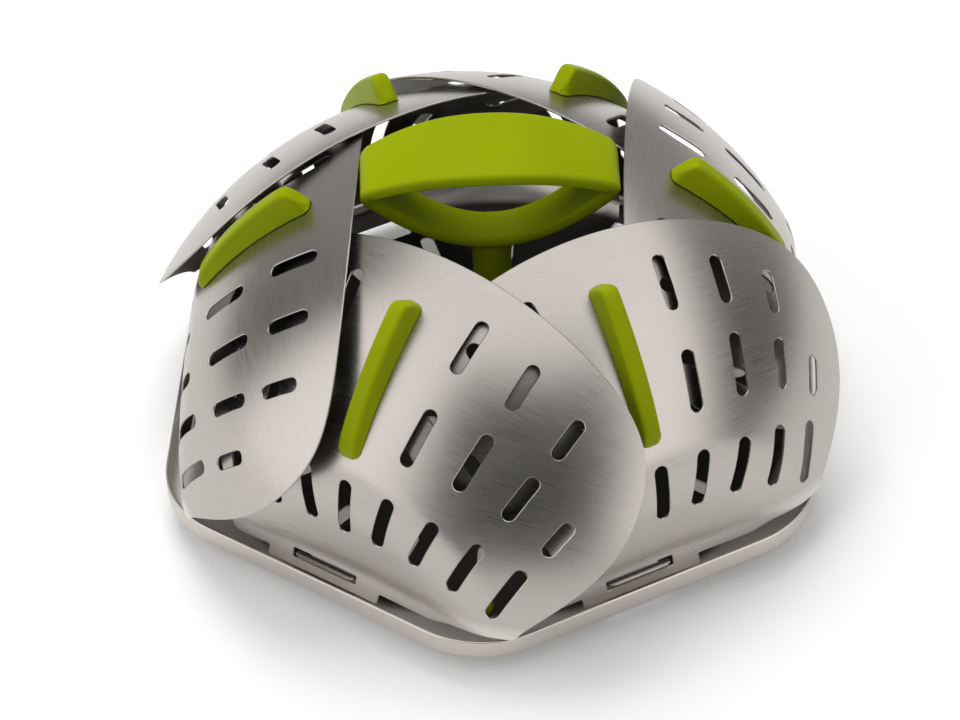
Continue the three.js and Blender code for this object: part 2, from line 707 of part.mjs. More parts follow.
// The loop is a lens of two curves, with the band's middle line one bend radius outside it,
// so that each end is round. Each ring has the place on the lens, the direction outwards
// and the sizes of the band there.
function handleRings() {
  const upper = {
    way: 1,
    height: HANDLE_TOP - HANDLE_TOP_THICKNESS / 2 - HANDLE_END_BEND - HANDLE_END_HEIGHT,
    power: ARCH_POWER_SHARE,
    thickness: HANDLE_TOP_THICKNESS,
    depth: HANDLE_TOP_DEPTH,
    endDepth: HANDLE_SHOULDER_DEPTH,
  };
  const lower = {
    way: -1,
    height: HANDLE_END_HEIGHT - HANDLE_LOW - HANDLE_LOW_THICKNESS / 2 - HANDLE_END_BEND,
    power: BOWL_POWER_SHARE,
    thickness: HANDLE_LOW_THICKNESS,
    depth: HANDLE_LOW_DEPTH,
    endDepth: HANDLE_TIP_DEPTH,
  };
  const arch = handleBand(upper);
  const bowl = handleBand(lower);
  const left = handleEnd(arch[HANDLE_BAND_STEPS], bowl[0]);
  const right = handleEnd(bowl[HANDLE_BAND_STEPS], arch[0]);
  return [...arch, ...left, ...bowl, ...right].map(handleRing);
}

// One curve of the lens: the upper one runs from right to left, the lower one back.
function handleBand({ way, height, power, thickness, depth, endDepth }) {
  const reach = HANDLE_HALF_LENGTH - HANDLE_END_THICKNESS / 2 - HANDLE_END_BEND;
  const places = [];
  for (let step = 0; step <= HANDLE_BAND_STEPS; step += 1) {
    const along = way * (1 - (2 * step) / HANDLE_BAND_STEPS);
    const middle = 1 - along * along;
    const slope = power * Math.sign(along) * Math.abs(along) ** (power - 1);
    places.push({
      x: reach * along,
      z: HANDLE_END_HEIGHT + way * height * (1 - Math.abs(along) ** power),
      out: Math.atan2(way * reach, height * slope),
      thickness: HANDLE_END_THICKNESS + (thickness - HANDLE_END_THICKNESS) * middle,
      depth: endDepth + (depth - endDepth) * middle,
    });
  }
  return places;
}

// The places between two curves' ends, turning about the tip of the lens.
function handleEnd(start, end) {
  const turn = (end.out - start.out + 2 * Math.PI) % (2 * Math.PI);
  const places = [];
  for (let step = 1; step < HANDLE_END_STEPS; step += 1) {
    const share = step / HANDLE_END_STEPS;
    const depth = start.depth + (end.depth - start.depth) * share;
    places.push({ ...start, out: start.out + turn * share, depth });
  }
  return places;
}

function handleRing({ x, z, out, thickness, depth }) {
  const r = HANDLE_EDGE_RADIUS;
  const t = thickness / 2;
  const d = depth / 2;
  const outwards = new THREE.Vector3(Math.cos(out), 0, Math.sin(out));
  const outline = [
    [t, r - d],
    [t, d - r],
    [t - r, d],
    [r - t, d],
    [-t, d - r],
    [-t, r - d],
    [r - t, -d],
    [t - r, -d],
  ];
  return outline.map(([across, along]) => {
    return new THREE.Vector3(x, along, z).addScaledVector(outwards, HANDLE_END_BEND + across);
  });
}

function ellipseRing(halfLength, halfDepth, height) {
  return [...Array(ROUND_STEPS).keys()].map((step) => {
    const angle = (2 * Math.PI * step) / ROUND_STEPS;
    return new THREE.Vector3(halfLength * Math.cos(angle), halfDepth * Math.sin(angle), height);
  });
}

// The stem is round, and flares along the loop where it runs into the lower band.
function stemGeometry() {
  const seat = TRAY_SHEET + FIT_GAP;
  const flange = seat + FLANGE_THICKNESS;
  const fillet = FLANGE_FILLET * FLANGE_FILLET_SHARE;
  const neck = HANDLE_LOW - STEM_NECK_DROP;
  const top = HANDLE_LOW + STEM_FLARE_END_SHARE * HANDLE_LOW_THICKNESS;
  const round = [
    [FLANGE_RADIUS, seat],
    [FLANGE_RADIUS, flange],
    [STEM_FOOT_RADIUS + fillet, flange + fillet],
    [STEM_FOOT_RADIUS, flange + FLANGE_FILLET],
    [STEM_NECK_RADIUS, neck],
  ];
  const rings = round.map(([radius, height]) => ellipseRing(radius, radius, height));
  for (let step = 1; step <= STEM_FLARE_STEPS; step += 1) {
    const share = step / STEM_FLARE_STEPS;
    const spread = 1 - Math.sqrt(1 - share * share);
    const halfLength = STEM_NECK_RADIUS + (STEM_FLARE_HALF_LENGTH - STEM_NECK_RADIUS) * spread;
    const halfDepth = STEM_NECK_RADIUS + (STEM_FLARE_HALF_DEPTH - STEM_NECK_RADIUS) * share;
    rings.push(ellipseRing(halfLength, halfDepth, neck + (top - neck) * share));
  }
  return skin(rings);
}

function handleMesh() {
  const loop = solidOf(skin(handleRings(), true));
  const bore = INSERT_RADIUS + FIT_GAP;
  const top = TRAY_SHEET + FIT_GAP + SCREW_LENGTH + FIT_GAP;
  const cut = turned([[0, -OVERRUN], [bore, -OVERRUN], [bore, top], [0, top]], ROUND_STEPS);
  const solid = loop.add(solidOf(stemGeometry())).subtract(solidOf(cut));
  const mesh = meshOf('handle', solid, softGreen());
  mesh.rotation.z = THREE.MathUtils.degToRad(HANDLE_TURN_DEG);
  return mesh;
}

function sleeve(bore, outer, low, high) {
  const profile = [[bore, low], [outer, low], [outer, high], [bore, high], [bore, low]];
  return solidOf(turned(profile, ROUND_STEPS));
}

function insertMesh() {
  const low = TRAY_SHEET + FIT_GAP;
  const high = low + INSERT_LENGTH;
  const bore = SCREW_RADIUS + FIT_GAP;
  return meshOf('handle_insert', sleeve(bore, INSERT_RADIUS, low, high), bright());
}

function washerMesh() {
  const bore = SCREW_RADIUS + FIT_GAP;
  const high = -FIT_GAP;
  const low = high - WASHER_THICKNESS;
  return meshOf('handle_washer', sleeve(bore, WASHER_RADIUS, low, high), bright());
}

function screwMesh() {
  const seat = -(2 * FIT_GAP + WASHER_THICKNESS);
  const bottom = seat - SCREW_HEAD_HEIGHT;
  const recess = bottom + SCREW_RECESS_DEPTH;
  const tip = seat + SCREW_LENGTH;
  const profile = [
    [0, recess],
    [SCREW_RECESS_RADIUS, recess],
    [SCREW_RECESS_RADIUS, bottom],
    [SCREW_FACE_RADIUS, bottom],
    [SCREW_HEAD_RADIUS, bottom + SCREW_HEAD_HEIGHT / 2],
    [SCREW_HEAD_RADIUS, seat],
    [SCREW_RADIUS, seat],
    [SCREW_RADIUS, tip],
    [0, tip],
  ];
  return meshOf('handle_screw', solidOf(turned(profile, ROUND_STEPS)), bright());
}

// Feet

function footMeshes() {
  const above = TRAY_SHEET + FIT_GAP;
  const profile = [
    [0, -FOOT_HEIGHT],
    [FOOT_RADIUS, -FOOT_HEIGHT],
    [FOOT_TOP_RADIUS, -FIT_GAP],
    [FOOT_NECK_RADIUS, -FIT_GAP],
    [FOOT_NECK_RADIUS, above],
    [FOOT_HEAD_RADIUS, above],
    [FOOT_HEAD_RADIUS, above + FOOT_HEAD_THICKNESS / 2],
    [FOOT_HEAD_RADIUS / 2, above + FOOT_HEAD_THICKNESS],
    [0, above + FOOT_HEAD_THICKNESS],
  ];
  const solid = solidOf(turned(profile, FOOT_STEPS));
  const meshes = [];
  for (let index = 0; index < FOOT_COUNT; index += 1) {
    const mesh = meshOf(`foot_${index + 1}`, solid, softGreen());
    mesh.position.set(FOOT_CIRCLE_RADIUS, 0, 0);
    mesh.position.applyAxisAngle(new THREE.Vector3(0, 0, 1), footAngle(index));
    meshes.push(mesh);
  }
  return meshes;
}

const basket = new THREE.Group();
basket.position.z = FOOT_HEIGHT;
basket.add(trayMesh(), ...petalMeshes());
basket.add(handleMesh(), insertMesh(), washerMesh(), screwMesh(), ...footMeshes());

export default basket;
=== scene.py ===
# %% [markdown]
# # A folding steamer basket
# The real basket is a shallow six-sided tray of stainless sheet. Six domed petals hook onto
# tongues of the tray and fold over one another. A lime green fin on each petal and a green
# loop on a stem are what the cook takes hold of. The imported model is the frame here: its
# bodies say how things move, and every visible piece below is drawn around it, in metres.

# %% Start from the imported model
import math

import bmesh
import bpy
import numpy as np
from mathutils import Matrix, Vector
from mathutils.geometry import delaunay_2d_cdt


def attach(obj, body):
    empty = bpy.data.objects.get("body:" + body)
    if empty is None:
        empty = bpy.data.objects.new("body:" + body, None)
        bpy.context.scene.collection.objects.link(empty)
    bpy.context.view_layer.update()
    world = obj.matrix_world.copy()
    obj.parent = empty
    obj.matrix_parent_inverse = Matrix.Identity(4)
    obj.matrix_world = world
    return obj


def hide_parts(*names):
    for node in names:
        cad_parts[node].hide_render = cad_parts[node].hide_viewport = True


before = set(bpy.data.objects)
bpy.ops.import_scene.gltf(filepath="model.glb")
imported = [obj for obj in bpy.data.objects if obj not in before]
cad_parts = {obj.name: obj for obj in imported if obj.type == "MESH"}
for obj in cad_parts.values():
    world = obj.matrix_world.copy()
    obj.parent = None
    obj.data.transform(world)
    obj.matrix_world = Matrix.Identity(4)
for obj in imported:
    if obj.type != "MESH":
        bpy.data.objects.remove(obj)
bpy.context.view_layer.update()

MM = 0.001

# %% [markdown]
# ## The camera
# The photograph was taken with a long lens from about 44 degrees above the table, so the
# basket shows its top and two of its sides. A constraint could aim the camera at a point,
# but angles and a distance can be set against the photograph one by one. They were worked
# out from the hinges, the fins and the rim.

# %% Camera
IMAGE_WIDTH = 960
IMAGE_HEIGHT = 720
FOOT_HEIGHT = 6.0
SENSOR_MM = 36.0
CAMERA_AZIMUTH_DEG = -85.991
CAMERA_ELEVATION_DEG = 44.050
CAMERA_ROLL_DEG = -1.664
CAMERA_DISTANCE = 1069.2
CAMERA_FOCUS_PX = 3471.8
CAMERA_CENTRE_PX = (495.0, 361.0)
AIM_HEIGHT = 16.45 + FOOT_HEIGHT


def make_camera():
    az, el, roll = (math.radians(d) for d in (CAMERA_AZIMUTH_DEG, CAMERA_ELEVATION_DEG, CAMERA_ROLL_DEG))
    back = Vector((math.cos(az) * math.cos(el), math.sin(az) * math.cos(el), math.sin(el)))
    right = (-back).cross(Vector((0, 0, 1))).normalized()
    up = right.cross(-back)
    turned_right = right * math.cos(roll) + up * math.sin(roll)
    turned_up = up * math.cos(roll) - right * math.sin(roll)
    place = Vector((0, 0, AIM_HEIGHT)) + back * CAMERA_DISTANCE
    camera = bpy.data.objects.new("camera", bpy.data.cameras.new("camera"))
    camera.data.sensor_width = SENSOR_MM
    camera.data.lens = CAMERA_FOCUS_PX / IMAGE_WIDTH * SENSOR_MM
    camera.data.shift_x = (IMAGE_WIDTH / 2 - CAMERA_CENTRE_PX[0]) / IMAGE_WIDTH
    camera.data.shift_y = (CAMERA_CENTRE_PX[1] - IMAGE_HEIGHT / 2) / IMAGE_WIDTH
    camera.data.clip_start = 0.05
    camera.data.clip_end = 20
    camera.matrix_world = Matrix((
        (turned_right[0], turned_up[0], back[0], place[0] * MM),
        (turned_right[1], turned_up[1], back[1], place[1] * MM),
        (turned_right[2], turned_up[2], back[2], place[2] * MM),
        (0, 0, 0, 1),
    ))
    bpy.context.scene.collection.objects.link(camera)
    bpy.context.scene.camera = camera
    return camera


camera = make_camera()
bpy.context.scene.view_settings.view_transform = "Standard"
print("lens", round(camera.data.lens, 1), "mm")

# %% [markdown]
# ## Colours and nodes
# Colours are read off as sRGB hex values, and one function turns them into the linear
# values that Blender works with. One more function adds a node with its settings and links,
# so that each material below reads as a short list of steps.

# %% Colour and node helpers
MIX_FACTOR, MIX_FIRST, MIX_SECOND, MIX_RESULT = 0, 6, 7, 2  # colour sockets of a Mix node
VALUE_FIRST, VALUE_SECOND, VALUE_RESULT = 2, 3, 0  # its sockets for plain values


def linear(hex_colour):
    values = [int(hex_colour[i:i + 2], 16) / 255 for i in (1, 3, 5)]
    return tuple(v / 12.92 if v <= 0.04045 else ((v + 0.055) / 1.055) ** 2.4 for v in values) + (1.0,)


def add_node(tree, kind, settings=None, inputs=None):
    """Adds a node. An input is a value or another node's output, which is linked."""
    node = tree.nodes.new(kind)
    for name, value in (settings or {}).items():
        setattr(node, name, value)
    for name, value in (inputs or {}).items():
        socket = node.inputs[name]
        if isinstance(value, bpy.types.NodeSocket):
            tree.links.new(value, socket)
        else:
            socket.default_value = value
    return node


def new_material(name):
    material = bpy.data.materials.new(name)
    material.use_nodes = True
    material.node_tree.nodes.clear()
    return material, material.node_tree


print("steel grey in linear light", [round(v, 3) for v in linear("#B9B4AC")[:3]])

# %% [markdown]
# ## Brushed stainless steel
# The petals and the tray are 18/10 stainless sheet, brushed in one direction before they
# were punched and pressed. The brushing leaves fine parallel scratches, so the steel mirrors
# light in long soft streaks across them instead of as a sharp image. A real scratch is some
# hundredths of a millimetre wide, which is too fine to show here, so they are drawn about
# 0.25 mm wide and about a centimetre long. A picture of scratches could be laid on, but
# noise that is stretched one way shows no seam and no repeat. The sheet carries its own flat
# coordinates in millimetres, so the scratches bend with it. The inner faces have the duller
# finish of rolled sheet and are painted a dark grey, painted shade for the inside, where
# little light finds its way in, so the inside looks nearly black.

# %% Brushed steel material
SCRATCH_WIDTH = 0.25
SCRATCH_LENGTH = 12.0
BLOTCH_SIZE = 30.0
STREAK_RANGE = (0.22, 0.78)
POLISH_RANGE = (0.25, 0.75)
POLISH_SPREAD = (-0.05, 0.07)
BLOTCH_SPREAD = 0.06
# The paler colour of the painted light at the petals' feet and far out in the tray
PAINTED_LIGHT_COLOUR = "#E4DED7"
PAINTED_LIGHT_METALLIC = 0.3


def brushed_steel(name, light, dark, roughness, scratch_depth, flat=False, painted_light_band=None):
    """Flat steel takes its scratches along the sheet, other steel along the X of the piece.
    The band of painted light, a paler colour that mirrors less, is given in millimetres as where it starts
    and where it is full."""
    material, tree = new_material(name)
    if flat:
        place = add_node(tree, "ShaderNodeAttribute", {"attribute_name": "flat_mm"}).outputs["Vector"]
    else:
        metres = add_node(tree, "ShaderNodeTexCoord").outputs["Object"]
        place = add_node(tree, "ShaderNodeVectorMath", {"operation": "SCALE"}, {
            "Vector": metres, "Scale": 1 / MM}).outputs["Vector"]
    stretch = (1 / SCRATCH_LENGTH, 1 / SCRATCH_WIDTH, 1 / SCRATCH_WIDTH)
    along = add_node(tree, "ShaderNodeMapping", inputs={"Vector": place, "Scale": stretch})
    scratches = add_node(tree, "ShaderNodeTexNoise", {"noise_dimensions": "3D"}, {
        "Vector": along.outputs["Vector"], "Scale": 1.0, "Detail": 3.0, "Roughness": 0.65})
    blotches = add_node(tree, "ShaderNodeTexNoise", {"noise_dimensions": "3D"}, {
        "Vector": place, "Scale": 1 / BLOTCH_SIZE, "Detail": 2.0})
    streaks = add_node(tree, "ShaderNodeMapRange", inputs={
        "Value": scratches.outputs["Fac"], "From Min": STREAK_RANGE[0], "From Max": STREAK_RANGE[1]})
    tint = add_node(tree, "ShaderNodeMix", {"data_type": "RGBA"}, {
        MIX_FACTOR: streaks.outputs["Result"], MIX_FIRST: linear(dark), MIX_SECOND: linear(light)})
    spread = add_node(tree, "ShaderNodeMapRange", inputs={
        "Value": scratches.outputs["Fac"], "From Min": POLISH_RANGE[0], "From Max": POLISH_RANGE[1],
        "To Min": roughness + POLISH_SPREAD[0], "To Max": roughness + POLISH_SPREAD[1]})
    worn = add_node(tree, "ShaderNodeMath", {"operation": "MULTIPLY_ADD"}, {
        0: blotches.outputs["Fac"], 1: BLOTCH_SPREAD, 2: spread.outputs["Result"]})
    bump = add_node(tree, "ShaderNodeBump", inputs={
        "Height": scratches.outputs["Fac"], "Distance": scratch_depth * MM, "Strength": 1.0})
    surface = add_node(tree, "ShaderNodeBsdfPrincipled", inputs={
        "Base Color": tint.outputs[MIX_RESULT], "Metallic": 1.0,
        "Roughness": worn.outputs["Value"], "Normal": bump.outputs["Normal"]})
    if painted_light_band:
        add_painted_light(tree, surface, tint, place, (0, 1, 0) if flat else (1, 1, 0), *painted_light_band)
    add_node(tree, "ShaderNodeOutputMaterial", inputs={"Surface": surface.outputs["BSDF"]})
    return material


def add_painted_light(tree, surface, tint, place, axes, start, full):
    """Painted light, a paler colour that mirrors less, by the distance up a flat sheet or outwards on
    another piece.
    """
    plan = add_node(tree, "ShaderNodeVectorMath", {"operation": "MULTIPLY"}, {0: place, 1: axes})
    distance = add_node(tree, "ShaderNodeVectorMath", {"operation": "LENGTH"}, {
        0: plan.outputs["Vector"]})
    share = add_node(tree, "ShaderNodeMapRange", {"interpolation_type": "SMOOTHSTEP"}, {
        "Value": distance.outputs["Value"], "From Min": start, "From Max": full})
    painted_light_mix = add_node(tree, "ShaderNodeMix", {"data_type": "RGBA"}, {
        MIX_FACTOR: share.outputs["Result"], MIX_FIRST: tint.outputs[MIX_RESULT],
        MIX_SECOND: linear(PAINTED_LIGHT_COLOUR)})
    dulled = add_node(tree, "ShaderNodeMath", {"operation": "MULTIPLY_ADD"}, {
        0: share.outputs["Result"], 1: PAINTED_LIGHT_METALLIC - 1, 2: 1.0})
    tree.links.new(painted_light_mix.outputs[MIX_RESULT], surface.inputs["Base Color"])
    tree.links.new(dulled.outputs["Value"], surface.inputs["Metallic"])


print("scratches", SCRATCH_WIDTH, "mm wide and", SCRATCH_LENGTH, "mm long")

# %% [markdown]
# Four steels come from this one function: a brushed outer face and a dull inner face for the
# petals, and the same pair for the tray. The inner faces are painted dark grey, as painted
# shade. Between the feet of the petals and the wall of the tray, light goes to and fro
# between the sheets more often than the render follows it. Painted light stands in for that
# light there: along a margin the sheet is painted paler and mirrors less. On a petal the
# margin is low down, and in the tray it is far out.

# %% Steel of the petals and the tray
# Painted light: paler and less metallic from 30 mm down to 24 mm at the foot
petal_steel = brushed_steel("brushed_stainless_petal", "#BEB9B2", "#ACA7A1", roughness=0.26,
                            scratch_depth=0.006, flat=True, painted_light_band=(30.0, 24.0))
# Dark grey: painted shade for the insides of the petals
shaded_inner_steel = brushed_steel("mill_finish_with_painted_shade", "#6C6761", "#585450", roughness=0.42,
                            scratch_depth=0.008, flat=True)
tray_steel = brushed_steel("pressed_stainless_tray", "#D2CCC5", "#BAB4AD", roughness=0.30,
                           scratch_depth=0.008)
# Dark grey, painted shade inside the tray, with painted light from 90 mm out
tray_inside_shade_and_light = brushed_steel("mill_finish_tray_with_painted_shade_and_light", "#605C57", "#4E4B47", roughness=0.45,
                                 scratch_depth=0.008, painted_light_band=(90.0, 94.0))
print("materials", [steel.name for steel in (petal_steel, shaded_inner_steel, tray_steel, tray_inside_shade_and_light)])

# %% [markdown]
# ## Green nylon
# The fins and the handle are injection-moulded nylon, coloured lime green right through,
# with a fine satin grain from the spark-eroded mould. The grain is about 0.1 mm on the real
# thing. It is drawn at 0.5 mm, so that it shows as a soft sheen instead of noise. A plain
# glossy colour could do from far off, but its highlights would be clean and hard. The feet
# are silicone of nearly the same green, which is softer and more matt.

# %% Nylon and silicone materials
GRAIN_SIZE = 0.5
GRAIN_DEPTH = 0.02
CLOUD_SIZE = 25.0
SATIN_SPREAD = 0.05
GREEN_LIT = "#9BAB00"
GREEN_DEEP = "#8C9B00"
GREEN_SHEEN = 0.08


def moulded_green(name, light, deep, roughness):
    material, tree = new_material(name)
    place = add_node(tree, "ShaderNodeTexCoord").outputs["Object"]
    grain = add_node(tree, "ShaderNodeTexNoise", {"noise_dimensions": "3D"}, {
        "Vector": place, "Scale": 1 / (GRAIN_SIZE * MM), "Detail": 2.0})
    clouds = add_node(tree, "ShaderNodeTexNoise", {"noise_dimensions": "3D"}, {
        "Vector": place, "Scale": 1 / (CLOUD_SIZE * MM), "Detail": 1.0})
    tint = add_node(tree, "ShaderNodeMix", {"data_type": "RGBA"}, {
        MIX_FACTOR: clouds.outputs["Fac"], MIX_FIRST: linear(deep), MIX_SECOND: linear(light)})
    satin = add_node(tree, "ShaderNodeMapRange", inputs={
        "Value": grain.outputs["Fac"], "To Min": roughness - SATIN_SPREAD,
        "To Max": roughness + SATIN_SPREAD})
    bump = add_node(tree, "ShaderNodeBump", inputs={
        "Height": grain.outputs["Fac"], "Distance": GRAIN_DEPTH * MM, "Strength": 0.5})
    surface = add_node(tree, "ShaderNodeBsdfPrincipled", inputs={
        "Base Color": tint.outputs[MIX_RESULT], "Roughness": satin.outputs["Result"],
        "Specular IOR Level": GREEN_SHEEN, "Normal": bump.outputs["Normal"]})
    add_node(tree, "ShaderNodeOutputMaterial", inputs={"Surface": surface.outputs["BSDF"]})
    return material


green_nylon = moulded_green("moulded_green_nylon", GREEN_LIT, GREEN_DEEP, roughness=0.42)
green_silicone = moulded_green("moulded_green_silicone", "#97A51A", "#87960F", roughness=0.6)
print("materials", green_nylon.name, green_silicone.name)

# %% [markdown]
# ## Meshes from points
# Two ways of making a surface serve the whole basket. A skin is drawn over rings of points,
# as a boat is planked over its frames: the fins, the loop and all round pieces are skins. A
# sheet is cut out flat, with its slots, and then bent: the petals and the tray's floor are
# sheets. Shapes can be pulled about by hand too, but points that follow from sizes are made
# again in a moment when a size changes. Both ways work in millimetres, and the points turn
# to metres when the mesh is made.

# %% Mesh helpers
SMOOTH_DEG = 35
LATHE_STEPS = 48


def mesh_object(name, points, faces):
    mesh = bpy.data.meshes.new(name)
    mesh.from_pydata([[p * MM for p in point] for point in points], [], faces)
    obj = bpy.data.objects.new(name, mesh)
    bpy.context.scene.collection.objects.link(obj)
    return obj


def smooth(obj, degrees=SMOOTH_DEG):
    obj.data.polygons.foreach_set("use_smooth", [True] * len(obj.data.polygons))
    obj.data.set_sharp_from_angle(angle=math.radians(degrees))
    return obj


def ring_faces(rings, size, looped=False, start=0):
    """Quads between rings of equal size, and a cap on each end unless they form a loop."""
    faces = []
    for i in range(rings if looped else rings - 1):
        low, high = start + i * size, start + (i + 1) % rings * size
        faces += [(low + j, low + (j + 1) % size, high + (j + 1) % size, high + j) for j in range(size)]
    if not looped:
        faces.append([start + j for j in reversed(range(size))])
        faces.append([start + (rings - 1) * size + j for j in range(size)])
    return faces


def turned(profile, steps=LATHE_STEPS):
    """Rings of a body of revolution about Z, from [radius, height] pairs."""
    angles = np.linspace(0, 2 * math.pi, steps, endpoint=False)
    return [[(r * math.cos(a), r * math.sin(a), z) for a in angles] for r, z in profile]


print("smooth below", SMOOTH_DEG, "degrees, lathes of", LATHE_STEPS, "steps")

# %% [markdown]
# Hardly any real edge is sharp. One function rounds the corners of an outline before it is
# turned or filled. The other finishes a piece: it takes its material, stands in for a node
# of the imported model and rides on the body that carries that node.

# %% Rounding and finishing
def rounded(points, radii, steps=5):
    """Rounds some corners of an outline. The corners are given as {index: radius}."""
    shares = np.linspace(0, 1, steps + 1)
    made = []
    for i, point in enumerate(points):
        if i not in radii:
            made.append(tuple(point))
            continue
        here = Vector(point)
        back = (Vector(points[i - 1]) - here).normalized()
        ahead = (Vector(points[(i + 1) % len(points)]) - here).normalized()
        reach = radii[i] / math.tan(back.angle(ahead) / 2)
        start, end = here + back * reach, here + ahead * reach
        made += [tuple(start.lerp(here, t).lerp(here.lerp(end, t), t)) for t in shares]
    return made


def finish_piece(obj, material, slot, body, *nodes):
    obj.data.materials.append(material)
    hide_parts(*nodes)
    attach(obj, body)
    return obj


print("a rounded corner takes", len(rounded([(0, 0), (1, 0), (1, 1)], {1: 0.1})) - 2, "points")

# %% [markdown]
# ## The shape of a petal
# Each petal is pressed from flat sheet. It is a piece of a sphere about 226 mm across, whose
# lower middle is pressed flat where it stands against the tray, and whose foot flares out
# into a hinge tab. A place on it is given by how far it lies across the petal and by the
# angle up from the level, seen from the sphere's centre line.

# %% Petal sizes
SIDES = 6
TURN = 2 * math.pi / SIDES
TRAY_APOTHEM = 98.0
HINGE_RADIUS = 92.8
HINGE_HEIGHT = 6.8 + FOOT_HEIGHT
PETAL_SHEET = 0.7
PETAL_SHIFT = 8.0
DOME_RADIUS = 113.2
DOME_CENTRE_BACK = 7.3
DOME_CENTRE_DROP = 17.4
WALL_RADIUS = 91.9
WALL_BOW = 1.8
FLARE_DEG = 38
TAB_DEG = 22
FLARE_SLOPE = math.tan(math.radians(FLARE_DEG))
FLARE_COS = math.cos(math.radians(FLARE_DEG))
TAB_COS = math.cos(math.radians(TAB_DEG))
BLEND_WIDTH = 6.0
FLARE_BLEND_WIDTH = 3.4
CORNER_TUCK = 0.8
TUCK_START = 20
TUCK_LENGTH = 32
TUCK_TOP_ANGLE = 0.5  # in radians, as is the next
TUCK_ANGLE = 0.3
PETAL_FOOT_ACROSS = 46.6
PETAL_FOOT_RADIUS = HINGE_RADIUS + 1.3
print("dome", 2 * DOME_RADIUS, "mm across, hinges", 2 * HINGE_RADIUS, "mm apart")

# %% [markdown]
# The sphere, the flat and the flare are joined by a soft minimum, which gives the rounded
# bends that a press leaves. A sculpted mesh could look the same, but a formula also gives
# the exact direction of the surface at any place, and polished steel shows every error in
# that. The lower corner of the wide side is tucked in a little, clear of the tray's rim.

# %% Petal surface
HALVINGS = 40


def soft_min(a, b, width):
    overlap = np.maximum(width - np.abs(a - b), 0) / width
    return np.minimum(a, b) - overlap ** 2 * width / 4


def petal_face(across, angle):
    """Outer face of the petal in its own frame: X out through the hinge, Z up."""
    across = np.asarray(across, float)
    angle = np.asarray(angle, float)
    dome = np.sqrt(DOME_RADIUS ** 2 - across ** 2)
    bow = WALL_BOW * (across / PETAL_FOOT_ACROSS) ** 2
    wall = (WALL_RADIUS + bow + DOME_CENTRE_BACK) / np.cos(angle)
    run = HINGE_RADIUS + PETAL_SHEET / 2 / FLARE_COS + DOME_CENTRE_BACK + DOME_CENTRE_DROP * FLARE_SLOPE
    tab = run / (np.cos(angle) + FLARE_SLOPE * np.sin(angle))
    lower = -soft_min(-wall, -tab, FLARE_BLEND_WIDTH)
    sideways = np.clip((across - TUCK_START) / TUCK_LENGTH, 0, 1)
    downwards = np.clip((TUCK_TOP_ANGLE - angle) / TUCK_ANGLE, 0, 1)
    reach = soft_min(dome, lower, BLEND_WIDTH) - CORNER_TUCK * (sideways ** 2 * downwards ** 2)
    return np.stack([reach * np.cos(angle) - DOME_CENTRE_BACK, across + PETAL_SHIFT,
                     HINGE_HEIGHT - DOME_CENTRE_DROP + reach * np.sin(angle)], axis=-1)


def petal_normal(across, angle, step=0.05):
    turn = step / DOME_RADIUS
    sideways = petal_face(across + step, angle) - petal_face(across - step, angle)
    upward = petal_face(across, angle + turn) - petal_face(across, angle - turn)
    normal = np.cross(sideways, upward)
    return normal / np.linalg.norm(normal, axis=-1, keepdims=True)


def angle_where(across, axis, value, low_deg=7.0, high_deg=85.0):
    """Angle at which the petal's X (falling) or Z (rising) passes a value, by halving."""
    low, high = math.radians(low_deg), math.radians(high_deg)
    for _ in range(HALVINGS):
        middle = (low + high) / 2
        found = petal_face(across, middle)[axis]
        if (found > value) == (axis == 0):
            low = middle
        else:
            high = middle
    return (low + high) / 2


print("top of the dome", petal_face(0, math.radians(90)).round(1), "mm")

# %% [markdown]
# ## The edge of a petal
# Seen from above, the edge runs from the top of the petal round a full shoulder to the
# foot. Three curves with pull points follow it in the photograph, where a chain of arcs
# would need more pieces for the same line.

# %% Side curve of the petal
PETAL_HALF_WIDTH = 77.0
WIDEST_RADIUS = HINGE_RADIUS - 36.8
TOP_RADIUS = 37.5
TOP_CORNER = (40.0, 58.0)
TOP_EDGE_SHARE = 0.6
CORNER_PULL = (0.1, 0.63, 0.69)
SIDE_PULL = (0.42, 0.16, 0.375)
TOP_POINTS, SHOULDER_POINTS, SIDE_POINTS = 30, 24, 40


def bezier(points, count):
    """Points along a curve with any number of pull points, by repeated blending."""
    t = np.linspace(0, 1, count)[:, None]
    runs = [np.asarray(point, float)[None] for point in points]
    while len(runs) > 1:
        runs = [a * (1 - t) + b * t for a, b in zip(runs, runs[1:])]
    return runs[0]


def side_curve():
    """[radius, across] from the middle of the top edge, round the wide side, to the foot."""
    top = (TOP_RADIUS, 0)
    corner = TOP_CORNER
    widest = (WIDEST_RADIUS, PETAL_HALF_WIDTH)
    foot = (PETAL_FOOT_RADIUS, PETAL_FOOT_ACROSS)
    rise, run = widest[0] - corner[0], widest[1] - corner[1]
    fall, draw = foot[0] - widest[0], widest[1] - foot[1]
    parts = [
        bezier([top, (TOP_RADIUS, corner[1] * TOP_EDGE_SHARE), corner], TOP_POINTS),
        bezier([corner, (corner[0] + CORNER_PULL[0] * rise, corner[1] + CORNER_PULL[1] * run),
                (widest[0] - CORNER_PULL[2] * rise, widest[1]), widest], SHOULDER_POINTS),
        bezier([widest, (widest[0] + SIDE_PULL[0] * fall, widest[1]),
                (foot[0] - SIDE_PULL[1] * fall, foot[1] + SIDE_PULL[2] * draw), foot], SIDE_POINTS),
    ]
    return np.concatenate([parts[0], parts[1][1:], parts[2][1:]])


print("side curve of", len(side_curve()), "points")

# %% [markdown]
# ## Cutting a petal out
# The outline is drawn on the flat: across in millimetres one way, and the angle turned to
# millimetres of arc the other way. One side is wide and shows. The other is narrower and
# lies tucked under the next petal. The hinge tab stands out of the bottom edge.

